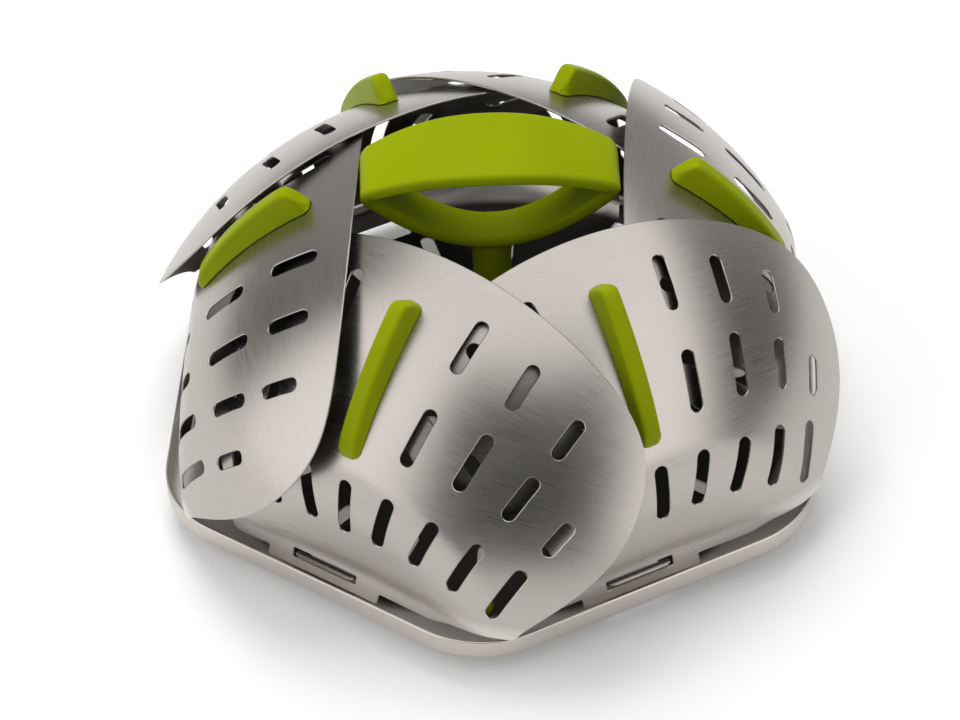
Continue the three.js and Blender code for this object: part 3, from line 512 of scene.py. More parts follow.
# %% Outline of the petal
TUCKED_SIDE_SHARE = 0.84
EDGE_HEIGHT = HINGE_HEIGHT + 1.4
CORNER_LIFT = 1.6
LIFT_START = 36.0
LIFT_LENGTH = 10.0
TAB_WIDTH = 38.8
STRIP_OUTWARD = 1.6
TAB_CORNER_RADIUS = 0.8
FOOT_CORNER_RADIUS = 3.0
FOOT_CORNER_REACH = FOOT_CORNER_RADIUS * 1.15
EDGE_STEP = 1.5


def bottom_height(across):
    share = min(max((across + PETAL_SHIFT - LIFT_START) / LIFT_LENGTH, 0), 1)
    return EDGE_HEIGHT + CORNER_LIFT * share * share * (3 - 2 * share)


def flat_point(across, angle):
    return (across, angle * DOME_RADIUS)


def tab_flat(across, along):
    """A place on the hinge tab: along is measured up the tab from the hinge line."""
    height = HINGE_HEIGHT + along * TAB_COS
    return flat_point(across, angle_where(across, 2, height))


def side_points(mirror, share):
    """Side edge down to the bottom edge, as flat points."""
    points = []
    for radius, across in side_curve()[1:]:
        across = mirror * across * share
        angle = angle_where(across, 0, radius)
        if petal_face(across, angle)[2] < bottom_height(across):
            break
        points.append(flat_point(across, angle))
    end = points[-1][0]
    points.append(flat_point(end, angle_where(end, 2, bottom_height(end))))
    return points


def bottom_points(start, stop):
    count = max(int(abs(stop - start) / EDGE_STEP), 2)
    return [flat_point(a, angle_where(a, 2, bottom_height(a))) for a in np.linspace(start, stop, count)]


def clear_of(points, corner):
    """Leaves out the points that the round at a corner replaces."""
    return [point for point in points if math.dist(point, corner) > FOOT_CORNER_REACH]


def petal_outline():
    """Anticlockwise as seen from outside, from the middle of the top edge."""
    half = TAB_WIDTH / 2
    right, left = half - PETAL_SHIFT, -half - PETAL_SHIFT
    wide = side_points(1, 1.0)
    tucked = side_points(-1, TUCKED_SIDE_SHARE)
    tab = [flat_point(left, angle_where(left, 2, EDGE_HEIGHT)), tab_flat(left, -STRIP_OUTWARD),
           tab_flat(right, -STRIP_OUTWARD), flat_point(right, angle_where(right, 2, EDGE_HEIGHT))]
    runs = [
        clear_of(tucked[:-1], tucked[-1]),
        tucked[-1:],
        clear_of(bottom_points(tucked[-1][0], left)[1:-1], tucked[-1]),
        tab,
        clear_of(bottom_points(right, wide[-1][0])[1:-1], wide[-1]),
        wide[-1:],
        clear_of(wide[:-1], wide[-1])[::-1],
    ]
    starts = np.cumsum([1] + [len(run) for run in runs])
    corners = {starts[1]: FOOT_CORNER_RADIUS, starts[5]: FOOT_CORNER_RADIUS}
    corners.update({starts[3] + i: TAB_CORNER_RADIUS for i in range(len(tab))})
    top = flat_point(0, angle_where(0, 0, TOP_RADIUS))
    return rounded([top] + [point for run in runs for point in run], corners)


outline = petal_outline()
print("outline of", len(outline), "points")

# %% [markdown]
# ## Slots
# Steam rises through twelve kinds of slot: straight ones with round ends, in rows that fan
# out from the foot. A slot is given by its two ends, as shares of the half width and as
# angles up the petal. It is drawn in true millimetres and then laid on the flat.

# %% Slots of the petal
SLOT_WIDTH = 4.2
BOTH_SIDES, WIDE_SIDE = (1, -1), (1,)
SLOT_SHARES = [
    ((0.255, 51.7), (0.28, 60.4), BOTH_SIDES),
    ((0.49, 50.0), (0.515, 57.9), BOTH_SIDES),
    ((0.695, 45.7), (0.73, 53.1), BOTH_SIDES),
    ((0.206, 36.3), (0.242, 45.6), BOTH_SIDES),
    ((0.418, 35.7), (0.468, 45.4), BOTH_SIDES),
    ((0.608, 33.7), (0.666, 41.7), BOTH_SIDES),
    ((0.765, 29.5), (0.82, 36.1), WIDE_SIDE),
    ((0.0, 21.1), (0.0, 30.7), WIDE_SIDE),
    ((0.143, 21.3), (0.19, 30.6), BOTH_SIDES),
    ((0.305, 20.9), (0.38, 29.7), BOTH_SIDES),
    ((0.47, 19.0), (0.556, 28.5), BOTH_SIDES),
    ((0.627, 16.0), (0.716, 25.9), WIDE_SIDE),
]
RIM_STEP = 1.8


def slot_outline(length, width, steps=8):
    """A slot with round ends, its length along the first axis."""
    reach = (length - width) / 2
    turns = [math.radians(a) for a in np.linspace(-90, 90, steps + 1)]
    half = [(reach + width / 2 * math.cos(a), width / 2 * math.sin(a)) for a in turns]
    return np.array(half + [(-x, -y) for x, y in half])


def circle(radius, steps=24):
    turns = np.linspace(0, 2 * math.pi, steps, endpoint=False)
    return radius * np.stack([np.cos(turns), np.sin(turns)], axis=-1)


def refined(loop, step=RIM_STEP):
    """Adds points so that no stretch of a closed outline is longer than the step."""
    made = []
    for a, b in zip(loop, np.roll(loop, -1, axis=0)):
        count = max(math.ceil(math.dist(a, b) / step), 1)
        made += [np.asarray(a) + (np.asarray(b) - a) * k / count for k in range(count)]
    return np.array(made)


def on_petal(shape, across, angle, lean=0.0):
    """Lays a shape in true millimetres on the flat, its first axis up the petal."""
    ring = math.sqrt(DOME_RADIUS ** 2 - across ** 2)
    up = shape[:, 0] * math.cos(lean) - shape[:, 1] * math.sin(lean)
    side = shape[:, 0] * math.sin(lean) + shape[:, 1] * math.cos(lean)
    return np.stack([across + side * ring / DOME_RADIUS, (angle + up / ring) * DOME_RADIUS], axis=-1)


def petal_slots():
    loops = []
    for low, high, sides in SLOT_SHARES:
        for mirror in sides:
            a, b = [(mirror * s * PETAL_HALF_WIDTH, math.radians(d)) for s, d in (low, high)]
            across, angle = (a[0] + b[0]) / 2, (a[1] + b[1]) / 2
            ring = math.sqrt(DOME_RADIUS ** 2 - across ** 2)
            side, up = (b[0] - a[0]) * DOME_RADIUS / ring, (b[1] - a[1]) * ring
            shape = refined(slot_outline(math.hypot(side, up), SLOT_WIDTH))
            loops.append(on_petal(shape, across, angle, math.atan2(side, up)))
    return loops


print(len(petal_slots()), "slots in each petal")

# %% [markdown]
# Three more holes are for joining. The hinge tab has a slot of its own, through which a
# tongue of the tray reaches, and two round holes take the pegs of the grip.

# %% Holes for the tongue and the pegs
GRIP_LOW_DEG = 34.2
GRIP_HIGH_DEG = 58.8
GRIP_LOW_SHIFT = 1.2
PEG_SHARES = (0.45, 0.85)
PEG_RADIUS = 1.9
PEG_PLAY = 0.3
TAB_SLOT_WIDTH = 22.2
TAB_SLOT_LOW = 0.9
TAB_SLOT_HIGH = 4.4
TAB_SLOT_CORNER = 0.6


def grip_place(share):
    """Where the grip's middle line lies at a share of its length, as (across, angle)."""
    angle = GRIP_LOW_DEG + (GRIP_HIGH_DEG - GRIP_LOW_DEG) * share
    return -GRIP_LOW_SHIFT * (1 - share), math.radians(angle)


def petal_holes():
    half = TAB_SLOT_WIDTH / 2
    corners = [tab_flat(y - PETAL_SHIFT, along) for y, along in
               ((half, TAB_SLOT_LOW), (half, TAB_SLOT_HIGH), (-half, TAB_SLOT_HIGH), (-half, TAB_SLOT_LOW))]
    tab_slot = refined(rounded(corners, {i: TAB_SLOT_CORNER for i in range(4)}))
    peg_hole = circle(PEG_RADIUS + PEG_PLAY, steps=16)
    return [tab_slot] + [on_petal(peg_hole, *grip_place(share)) for share in PEG_SHARES]


holes = petal_slots() + petal_holes()
print(len(holes), "holes in each petal")

# %% [markdown]
# ## From flat to bent
# The flat sheet is filled with triangles that keep to its outline and its holes. A boolean
# cut through a bent grid could do the same, but it leaves long thin faces that mirror badly
# on polished sheet. Here every slot has its own ring of points before anything is bent.

# %% Filling a flat sheet
RIM_CLEARANCE = 0.55
SMALLEST_AREA = 1e-4
MERGE_DISTANCE = 1e-6
WHOLE_HULL = 0  # the kind of filling that keeps every triangle, those in holes too


def inside(points, loop):
    """Which points lie inside a closed outline, by counting the edges to their right."""
    x, y = points[:, :1], points[:, 1:]
    a, b = loop, np.roll(loop, -1, axis=0)
    level = (a[:, 1] > y) != (b[:, 1] > y)
    rise = np.where(b[:, 1] == a[:, 1], 1, b[:, 1] - a[:, 1])
    crossing = a[:, 0] + (y - a[:, 1]) / rise * (b[:, 0] - a[:, 0])
    return (level & (x < crossing)).sum(axis=1) % 2 == 1


def signed_area(loop):
    x, y = np.asarray(loop).T
    return (x * np.roll(y, -1) - y * np.roll(x, -1)).sum() / 2


def inset(loop, distance):
    """Moves an outline to its left by a distance: into the sheet, on loops in order."""
    along = np.roll(loop, -1, axis=0) - np.roll(loop, 1, axis=0)
    along = along / np.linalg.norm(along, axis=1, keepdims=True)
    return loop + distance * np.stack([-along[:, 1], along[:, 0]], axis=-1)


def in_order(outline, holes):
    """Turns the outline anticlockwise and the holes clockwise, the sheet on their left."""
    loops = [np.asarray(outline)] + [np.asarray(hole) for hole in holes]
    wanted = [1] + [-1] * len(holes)
    return [loop if signed_area(loop) * way > 0 else loop[::-1] for loop, way in zip(loops, wanted)]


def grid_points(low, high, step):
    rows = []
    for row, v in enumerate(np.arange(low[1], high[1], step * math.sqrt(3) / 2)):
        shift = step / 2 if row % 2 else 0
        us = np.arange(low[0] + shift, high[0], step)
        rows.append(np.stack([us, np.full_like(us, v)], axis=-1))
    return np.concatenate(rows)


def fill_flat(loops, grid, clearance=RIM_CLEARANCE):
    """Points and triangles of a flat sheet. The loops come first among the points."""
    rim = np.concatenate(loops)
    keep = inside(grid, loops[0])
    for hole in loops[1:]:
        keep &= ~inside(grid, hole)
    grid = grid[keep]
    reach = np.linalg.norm(grid[:, None] - rim[None], axis=-1).min(axis=1)
    points = np.concatenate([rim, grid[reach > clearance * RIM_STEP]])
    edges, start = [], 0
    for loop in loops:
        edges += [(start + i, start + (i + 1) % len(loop)) for i in range(len(loop))]
        start += len(loop)
    vectors = [Vector(p) for p in points]
    filling = delaunay_2d_cdt(vectors, edges, [], WHOLE_HULL, MERGE_DISTANCE)
    triangles, origin = filling[2:4]
    triangles = np.array([[origin[v][0] for v in triangle] for triangle in triangles])
    middles = points[triangles].mean(axis=1)
    a, b, c = (points[triangles[:, i]] for i in range(3))
    area = np.abs(np.cross(b - a, c - a)) / 2
    keep = inside(middles, loops[0]) & (area > SMALLEST_AREA)
    for hole in loops[1:]:
        keep &= ~inside(middles, hole)
    return points, triangles[keep]


square = in_order([(-1, -1), (1, -1), (1, 1), (-1, 1)], [])
print("a plain square takes", len(fill_flat(square, np.zeros((1, 2)))[1]), "triangles")

# %% [markdown]
# Each point of the flat sheet is lifted on to the pressed shape twice, once for each face.
# A Solidify modifier could add the thickness, but the bevels and the shading come out
# exact in this way.
# A cut edge of real sheet is never sharp: it is rolled over on one side and dressed on the
# other, so a narrow bevel runs round every edge and catches the light. The shading
# directions come straight from the surface's formula, so that the reflections run on
# without any sign of the triangles.

# %% Bending the petal
BEVEL = 0.2
GRID_STEP = 2.6
FINE_STEP = 1.1
FINE_BELOW = 27.0
FINE_MARGIN = 6.0


def bent_sheet(name, outline, holes, grid, place, normal, thickness):
    """A sheet of real thickness with bevelled edges, and its own shading directions."""
    cut = in_order(outline, holes)
    faces_in = [inset(loop, BEVEL) for loop in cut]
    flat, triangles = fill_flat(faces_in, grid)
    cut_flat = np.concatenate(cut)
    up, edge_up = normal(flat), normal(cut_flat)
    front, edge = place(flat), place(cut_flat)
    rows = [front, front - thickness * up, edge - BEVEL * edge_up, edge - (thickness - BEVEL) * edge_up]
    points = np.concatenate(rows)
    starts = np.cumsum([0] + [len(row) for row in rows])
    faces = [tuple(t) for t in triangles] + [tuple(starts[1] + i for i in t[::-1]) for t in triangles]
    directions = [up[i] for t in triangles for i in t] + [-up[i] for t in triangles for i in t[::-1]]
    away = edge - front[:len(edge)]
    away -= (away * edge_up).sum(axis=1, keepdims=True) * edge_up
    away /= np.linalg.norm(away, axis=1, keepdims=True)
    bands = [(starts[0], starts[2], edge_up), (starts[2], starts[3], None),
             (starts[3], starts[1], -edge_up)]
    offset = 0
    for loop in cut:
        size = len(loop)
        for low, high, tilt in bands:
            turn = away if tilt is None else (away + tilt) / math.sqrt(2)
            for i in range(size):
                a, b = offset + i, offset + (i + 1) % size
                faces.append((low + a, high + a, high + b, low + b))
                directions += [turn[a], turn[a], turn[b], turn[b]]
        offset += size
    obj = mesh_object(name, points, faces)
    obj.data.polygons.foreach_set("use_smooth", [True] * len(faces))
    inner = range(len(triangles), 2 * len(triangles))
    obj.data.polygons.foreach_set("material_index", [int(i in inner) for i in range(len(faces))])
    obj.data.normals_split_custom_set([tuple(d) for d in directions])
    flats = np.concatenate([flat, flat, cut_flat, cut_flat])
    flats = np.column_stack([flats, np.zeros(len(flats))]).astype(np.float32)
    attribute = obj.data.attributes.new("flat_mm", "FLOAT_VECTOR", "POINT")
    attribute.data.foreach_set("vector", flats.ravel())
    return obj


def petal_grid():
    low, high = np.min(outline, axis=0), np.max(outline, axis=0)
    coarse = grid_points((low[0], FINE_BELOW), high, GRID_STEP)
    fine = grid_points(low, (high[0], FINE_BELOW), FINE_STEP)
    fine = fine[np.abs(fine[:, 0] + PETAL_SHIFT) < TAB_WIDTH / 2 + FINE_MARGIN]
    side = grid_points(low, (high[0], FINE_BELOW), GRID_STEP)
    side = side[np.abs(side[:, 0] + PETAL_SHIFT) >= TAB_WIDTH / 2 + FINE_MARGIN]
    return np.concatenate([coarse, fine, side])


petal = bent_sheet(
    "petal", refined(outline), holes, petal_grid(),
    lambda flat: petal_face(flat[:, 0], flat[:, 1] / DOME_RADIUS),
    lambda flat: petal_normal(flat[:, 0], flat[:, 1] / DOME_RADIUS), PETAL_SHEET)
print("petal of", len(petal.data.polygons), "faces")

# %% [markdown]
# ## Six petals on their hinges
# The one petal is copied round the tray. An Array modifier could do that, but each petal
# moves on its own hinge and so has to be an object of its own. Each copy leans by the small
# angle at which its loose hinge and its neighbours let it come to rest, as the photograph
# shows, and gets its own stretch of the brushing pattern.

# %% Six petals
PETAL_REST_DEG = (1.2, -1.6, -0.5, 0.7, 0.4, 0.0)
SHEET_SPACING = 200.0


def hinge_frame(side):
    """Moves the petal's own frame to its place round the tray, at its resting angle."""
    hinge = Matrix.Translation((HINGE_RADIUS * MM, 0, HINGE_HEIGHT * MM))
    lean = Matrix.Rotation(math.radians(PETAL_REST_DEG[side]), 4, "Y")
    return Matrix.Rotation(side * TURN, 4, "Z") @ hinge @ lean @ hinge.inverted()


def copy_of(obj, name):
    copied = bpy.data.objects.new(name, obj.data.copy())
    bpy.context.scene.collection.objects.link(copied)
    return copied


for side in range(SIDES):
    piece = copy_of(petal, f"petal_sheet_{side + 1}")
    piece.data.transform(hinge_frame(side))
    flats = np.empty(len(piece.data.vertices) * 3, np.float32)
    piece.data.attributes["flat_mm"].data.foreach_get("vector", flats)
    flats[2::3] = side * SHEET_SPACING
    piece.data.attributes["flat_mm"].data.foreach_set("vector", flats)
    finish_piece(piece, petal_steel, "sheet_steel", f"leaf_{side + 1}", f"petal_{side + 1}")
    piece.data.materials.append(shaded_inner_steel)
bpy.data.objects.remove(petal)
print("petals rest at", PETAL_REST_DEG, "degrees")

# %% [markdown]
# ## Grips
# Each fin is moulded in one shot of nylon and snaps through two holes of its petal, where
# its pegs end in broad heads. A bevelled block could be bent to fit, but a skin over
# sections across the petal follows the sheet all along. The crest is flat with rounded
# edges, the sides lean in a little so that the fin leaves its mould, the low end is rounded
# off and the high end is cut back at a slant. A fine gap between the fin and the sheet shows
# as a dark line.

# %% Grips
GRIP_STATIONS = 64
GRIP_LOW_HEIGHT = 2.6
GRIP_HIGH_HEIGHT = 9.25
GRIP_RISE_SHARE = 0.75
GRIP_LOW_WIDTH = 7.4
GRIP_HIGH_WIDTH = 6.8
GRIP_DRAFT = 0.8
GRIP_EDGE_RADIUS = 1.3
GRIP_EDGE_STEPS = 6
GRIP_EDGE_SHARES = (0.45, 0.5)
GRIP_LEAST_HEIGHT = 0.15
GRIP_SEAT = 0.25
GRIP_SEAT_ROUND = 0.4
WALL_SHARES = (0, 0.35, 0.7)
CREST_SHARE = 0.3
LEAST_RISE = 0.02
GRIP_CREST_SHARES = ((0, 0.15), (0.02, 0.56), (0.045, 0.8), (0.08, 0.95), (0.12, 1), (0.87, 1),
                     (0.905, 0.985), (0.925, 0.945), (0.945, 0.80), (1, 0.12))
NOSE_RADIUS = 2.8
NOSE_START = 0.05
TAIL_RADIUS = 2.4
TAIL_START = 0.02
GRIP_LENGTH = math.radians(GRIP_HIGH_DEG - GRIP_LOW_DEG) * DOME_RADIUS


def rounded_end(distance, length):
    """From 0 at an end to 1 at a given length from it, as a quarter circle rises."""
    share = min(max(distance / length, 0), 1)
    return math.sqrt(1 - (1 - share) ** 2)


def grip_section(half, height, edge):
    """Half outline from the seat to the middle of the crest, as (across, rise)."""
    turns = [math.radians(a) for a in np.linspace(0, 90, GRIP_EDGE_STEPS + 1)]
    lean = half - min(GRIP_DRAFT, height / 2)
    wall = [(half + (lean - half) * t, max(height - edge, 0) * t) for t in WALL_SHARES]
    corner = [(lean - edge * (1 - math.cos(a)), height - edge * (1 - math.sin(a))) for a in turns]
    wall = [(x, max(z, LEAST_RISE * i)) for i, (x, z) in enumerate(wall)]
    return [(half - GRIP_SEAT_ROUND, 0), *wall, *corner, (lean * CREST_SHARE, height)]


def grip_rings():
    spread = (1 - np.cos(np.linspace(0, math.pi, GRIP_STATIONS))) / 2
    crest_points = [share for share, _ in GRIP_CREST_SHARES]
    crest_shares = [height for _, height in GRIP_CREST_SHARES]
    rings = []
    for share in spread:
        along = share * GRIP_LENGTH
        rise = (GRIP_HIGH_HEIGHT - GRIP_LOW_HEIGHT) * share ** GRIP_RISE_SHARE
        height = np.interp(share, crest_points, crest_shares) * (GRIP_LOW_HEIGHT + rise) - GRIP_SEAT
        half = (GRIP_LOW_WIDTH + (GRIP_HIGH_WIDTH - GRIP_LOW_WIDTH) * share) / 2
        half -= NOSE_RADIUS * (1 - rounded_end(along + NOSE_START, NOSE_RADIUS))
        half -= TAIL_RADIUS * (1 - rounded_end(GRIP_LENGTH - along + TAIL_START, TAIL_RADIUS))
        height = max(height, GRIP_LEAST_HEIGHT)
        edge = min(GRIP_EDGE_RADIUS, height * GRIP_EDGE_SHARES[0], half * GRIP_EDGE_SHARES[1])
        section = grip_section(half, height, edge)
        section = section + [(-x, z) for x, z in reversed(section)]
        middle, normal = petal_face(*grip_place(share)), petal_normal(*grip_place(share))
        side = np.array([0, 1, 0])
        rings.append([middle + (z + GRIP_SEAT) * normal + x * side for x, z in section])
    return rings


print("a fin has", len(grip_rings()), "sections of", len(grip_rings()[0]), "points")

# %% [markdown]
# A peg is a turned shape: its broad head is domed below, where it was pushed through the
# hole. The heads can be seen inside the basket.

# %% Pegs and copies of the grip
PEG_HEAD_RADIUS = 3.4
PEG_HEAD_THICKNESS = 1.3
PEG_HEAD_DEPTH = PETAL_SHEET + PEG_PLAY + PEG_HEAD_THICKNESS
PEG_DOME = ((0.55, 0), (0.9, 0.35), (1, 0.8))  # share of the head's radius, height
PEG_SHOULDER = 0.05
PEG_STEPS = 24


def peg_rings(share):
    low, top = -PEG_HEAD_DEPTH, PEG_HEAD_THICKNESS - PEG_HEAD_DEPTH
    profile = [(PEG_HEAD_RADIUS * wide, low + height) for wide, height in PEG_DOME]
    profile += [(PEG_HEAD_RADIUS, top), (PEG_RADIUS, top + PEG_SHOULDER), (PEG_RADIUS, 0)]
    base, normal = petal_face(*grip_place(share)), petal_normal(*grip_place(share))
    side = np.array([0.0, 1.0, 0.0])
    up = np.cross(side, normal)
    rings = turned(profile, PEG_STEPS)
    return [[base - x * up + y * side + z * normal for x, y, z in ring] for ring in rings]


def facing_out(obj):
    """Turns the faces of closed shells outwards."""
    shape = bmesh.new()
    shape.from_mesh(obj.data)
    bmesh.ops.recalc_face_normals(shape, faces=shape.faces)
    shape.to_mesh(obj.data)
    shape.free()
    return obj


def join_rings(name, groups):
    points, faces = [], []
    for rings in groups:
        faces += ring_faces(len(rings), len(rings[0]), start=len(points))
        points += [point for ring in rings for point in ring]
    return smooth(facing_out(mesh_object(name, points, faces)))


grip = join_rings("grip", [grip_rings(), *[peg_rings(share) for share in PEG_SHARES]])
for side in range(SIDES):
    piece = copy_of(grip, f"grip_fin_{side + 1}")
    piece.data.transform(hinge_frame(side))
    finish_piece(piece, green_nylon, "green_nylon", f"leaf_{side + 1}", f"petal_grip_{side + 1}")
bpy.data.objects.remove(grip)
print("fin", round(GRIP_LENGTH, 1), "mm long")

# %% [markdown]
# ## The tray
# The tray is pressed like a baking tin: a flat floor, a small bend and a plain upright wall
# with its rim left rounded. Floor slots fan out in three rings. A hexagon could be drawn up
# and given thickness and bevels by modifiers, but then the bend would be hard to keep to its
# size. Here the floor is a sheet cut out flat, and the bend and the wall are a skin over
# rings that follow the rounded hexagon.

# %% Tray outline and floor
TRAY_CORNER_RADIUS = 31.1
TRAY_WALL_HEIGHT = 8.5
TRAY_SHEET = 0.9
TRAY_BEND_RADIUS = 3.2
TONGUE_FACE_RADIUS = 90.1
TONGUE_WIDTH = 20.6
WINDOW_LENGTH = 9.0
WINDOW_SIDE_GAP = 0.5
WINDOW_CORNER = 1.2
ROOT_OVERLAP = 0.05
FLOOR_SLOT_WIDTH = 4.4
FLOOR_RINGS = ((0.25, 0.45, 1), (0.52, 0.7, 2), (0.775, 0.97, 3))
SCREW_HOLE_RADIUS = 2.3
FOOT_HOLE_RADIUS = 2.7
FOOT_CIRCLE_RADIUS = 88.0
FOOT_TURNS_DEG = (270, 30, 150)
CORNER_STEPS = 10
FLOOR_STEP = 6.0


def hexagon(radial_inset):
    """The tray's outline seen from above, moved inwards by a distance."""
    reach = (TRAY_APOTHEM - TRAY_CORNER_RADIUS) / math.cos(TURN / 2)
    radius = TRAY_CORNER_RADIUS - radial_inset
    points = []
    for side in range(SIDES):
        corner = (side + 0.5) * TURN
        for step in range(CORNER_STEPS + 1):
            angle = corner + (step / CORNER_STEPS - 0.5) * TURN
            points.append((reach * math.cos(corner) + radius * math.cos(angle),
                           reach * math.sin(corner) + radius * math.sin(angle)))
    return np.array(points)


def spun(shape, radius, angle):
    """Moves a shape out along X and turns it about the middle."""
    x, y = shape[:, 0] + radius, shape[:, 1]
    cosine, sine = math.cos(angle), math.sin(angle)
    return np.stack([x * cosine - y * sine, x * sine + y * cosine], axis=-1)


def floor_holes():
    reach = TONGUE_FACE_RADIUS - WINDOW_LENGTH
    made = []
    for inner, outer, per_side in FLOOR_RINGS:
        shape = slot_outline((outer - inner) * reach, FLOOR_SLOT_WIDTH)
        for index in range(SIDES * per_side):
            made.append(spun(shape, (inner + outer) / 2 * reach, (index + 0.5) / per_side * TURN))
    x, y = WINDOW_LENGTH / 2, TONGUE_WIDTH / 2 + WINDOW_SIDE_GAP
    window = rounded([(x, y), (-x, y), (-x, -y), (x, -y)], {i: WINDOW_CORNER for i in range(4)})
    for side in range(SIDES):
        made.append(spun(np.array(window), TONGUE_FACE_RADIUS - ROOT_OVERLAP - x, side * TURN))
    made.append(circle(SCREW_HOLE_RADIUS))
    made += [spun(circle(FOOT_HOLE_RADIUS), FOOT_CIRCLE_RADIUS, math.radians(d)) for d in FOOT_TURNS_DEG]
    return made


print(len(floor_holes()), "holes in the floor")

# %% [markdown]
# The wall goes up from the outline of the floor, ring by ring: round the bend, up the
# outside, over the rim and down again. The rings are shared with the floor's own points,
# so the tray is one closed mesh.

# %% Tray without its tongues
BEND_STEPS = 8
RIM_ROUND = 0.42
RIM_STEPS = 5
TRAY_UNDERSIDE = FOOT_HEIGHT


def wall_profile():
    """The bend, the wall and its rim as (inset, height), from under the floor to inside."""
    turns = [math.radians(a) for a in np.linspace(0, 90, BEND_STEPS + 1)]
    outer = [(TRAY_BEND_RADIUS * (1 - math.sin(a)), TRAY_BEND_RADIUS * (1 - math.cos(a))) for a in turns]
    bend = TRAY_BEND_RADIUS - TRAY_SHEET
    inner = [(TRAY_SHEET + bend * (1 - math.sin(a)), TRAY_SHEET + bend * (1 - math.cos(a))) for a in turns]
    top = TRAY_WALL_HEIGHT
    arc = [math.radians(a) for a in np.linspace(0, 90, RIM_STEPS + 1)]
    edge = [(RIM_ROUND * (1 - math.cos(a)), top - RIM_ROUND * (1 - math.sin(a))) for a in arc]
    rim = edge + [(TRAY_SHEET - x, z) for x, z in reversed(edge)]
    return outer + rim + inner[::-1]


def floor_part():
    loops = in_order(hexagon(TRAY_BEND_RADIUS), floor_holes())
    low, high = loops[0].min(axis=0), loops[0].max(axis=0)
    grid = grid_points(low + FLOOR_STEP / 2, high, FLOOR_STEP)
    return loops, fill_flat(loops, grid, clearance=1.0)


def tray_mesh():
    loops, (flat, triangles) = floor_part()
    count = len(flat)
    size = len(loops[0])
    points = [(x, y, z) for z in (0, TRAY_SHEET) for x, y in flat]
    faces = [tuple(t[::-1]) for t in triangles] + [tuple(i + count for i in t) for t in triangles]
    offset = size
    for loop in loops[1:]:
        n = len(loop)
        faces += [(offset + i, offset + (i + 1) % n, offset + (i + 1) % n + count, offset + i + count)
                  for i in range(n)]
        offset += n
    rings = [list(range(size))]
    for inset_by, height in wall_profile()[1:-1]:
        rings.append(list(range(len(points), len(points) + size)))
        points += [(x, y, height) for x, y in hexagon(inset_by)]
    rings.append([i + count for i in range(size)])
    for low, high in zip(rings, rings[1:]):
        faces += [(low[i], low[(i + 1) % size], high[(i + 1) % size], high[i]) for i in range(size)]
    return [(x, y, z + TRAY_UNDERSIDE) for x, y, z in points], faces


tray = mesh_object("pressed_tray", *tray_mesh())
print("floor, bend and wall of", len(tray.data.polygons), "faces")

# %% [markdown]
# Each tongue is lanced out of the floor, which leaves a window, then bent up and curled
# over the strip at the foot of its petal. It is drawn as a strip that follows its own curl.
# A strip that only stood on the floor would show a seam, so an exact union makes the two
# one. The faces that look into the tray take the dull finish, painted dark grey as painted
# shade, and painted paler far out as painted light.

# %% Tongues and finish of the tray
CURL_RADIUS = 1.8
CURL_END_DEG = 70
CURL_STEPS = 14
TONGUE_CORNER = 1.5
TONGUE_EDGE = 0.2
TONGUE_RISE = (-3.5, -1.5)
UPWARD_LEAST = 0.1
INWARD_LEAST = 0.5


def tongue_rings():
    """Sections of the tongue along its own length, from the floor to the end of the curl."""
    path = [(-CURL_RADIUS, TRAY_SHEET / 2 - HINGE_HEIGHT + TRAY_UNDERSIDE, math.pi)]
    path += [(-CURL_RADIUS, z, math.pi) for z in TONGUE_RISE]
    for angle in np.linspace(math.pi, math.radians(CURL_END_DEG), CURL_STEPS):
        path.append((CURL_RADIUS * math.cos(angle), CURL_RADIUS * math.sin(angle), angle))
    run = CURL_RADIUS * math.radians(180 - CURL_END_DEG)
    straight = len(path) - CURL_STEPS
    rings = []
    for index, (x, z, angle) in enumerate(path):
        left = run * (1 - max(index - straight, 0) / (CURL_STEPS - 1))
        half = TONGUE_WIDTH / 2 - TONGUE_CORNER * (1 - rounded_end(left, TONGUE_CORNER))
        out_x, out_z = math.cos(angle), math.sin(angle)
        foot_x, foot_z = HINGE_RADIUS + x, HINGE_HEIGHT + z
        side = [(0, half - TONGUE_EDGE), (TONGUE_EDGE, half),
                (TRAY_SHEET - TONGUE_EDGE, half), (TRAY_SHEET, half - TONGUE_EDGE)]
        section = [(t, -y) for t, y in side] + side[::-1]
        rings.append([(foot_x + t * out_x, y, foot_z + t * out_z) for t, y in section])
    return rings


def joined_as_one(obj, others):
    """Adds solids to an object with exact unions and keeps only the result."""
    for other in others:
        union = obj.modifiers.new("union", "BOOLEAN")
        union.operation = "UNION"
        union.solver = "EXACT"
        union.object = other
    shape = bpy.data.meshes.new_from_object(obj.evaluated_get(bpy.context.evaluated_depsgraph_get()))
    obj.modifiers.clear()
    obj.data = shape
    for other in others:
        bpy.data.objects.remove(other)
    return obj


tongues = []
for side in range(SIDES):
    rings = tongue_rings()
    points = [point for ring in rings for point in ring]
    tongues.append(mesh_object("tongue", points, ring_faces(len(rings), len(rings[0]))))
    tongues[-1].data.transform(Matrix.Rotation(side * TURN, 4, "Z"))
tray = smooth(joined_as_one(tray, tongues))
finish_piece(tray, tray_steel, "sheet_steel", "base", "base_tray")
tray.data.materials.append(tray_inside_shade_and_light)
# Faces below the rim that look up or inwards take the painted shade of the tray's inside
for face in tray.data.polygons:
    below_rim = face.center.z < (TRAY_UNDERSIDE + TRAY_WALL_HEIGHT - RIM_ROUND) * MM
    inward = -face.normal.xy.dot(face.center.xy)
    looks_in = face.normal.z > UPWARD_LEAST or inward > INWARD_LEAST * face.center.xy.length
    face.material_index = int(below_rim and looks_in)
print("tray of", len(tray.data.polygons), "faces")

# %% [markdown]
# ## The handle
# The loop is an eye-shaped band, broad on top where fingers pull and narrow below. Two
# curves make a lens, and the band runs a little outside it, so that its ends are round. A
# curve object with a bevel could draw a band too, but its depth changes along the way here,
# which is easier as a skin over sections.

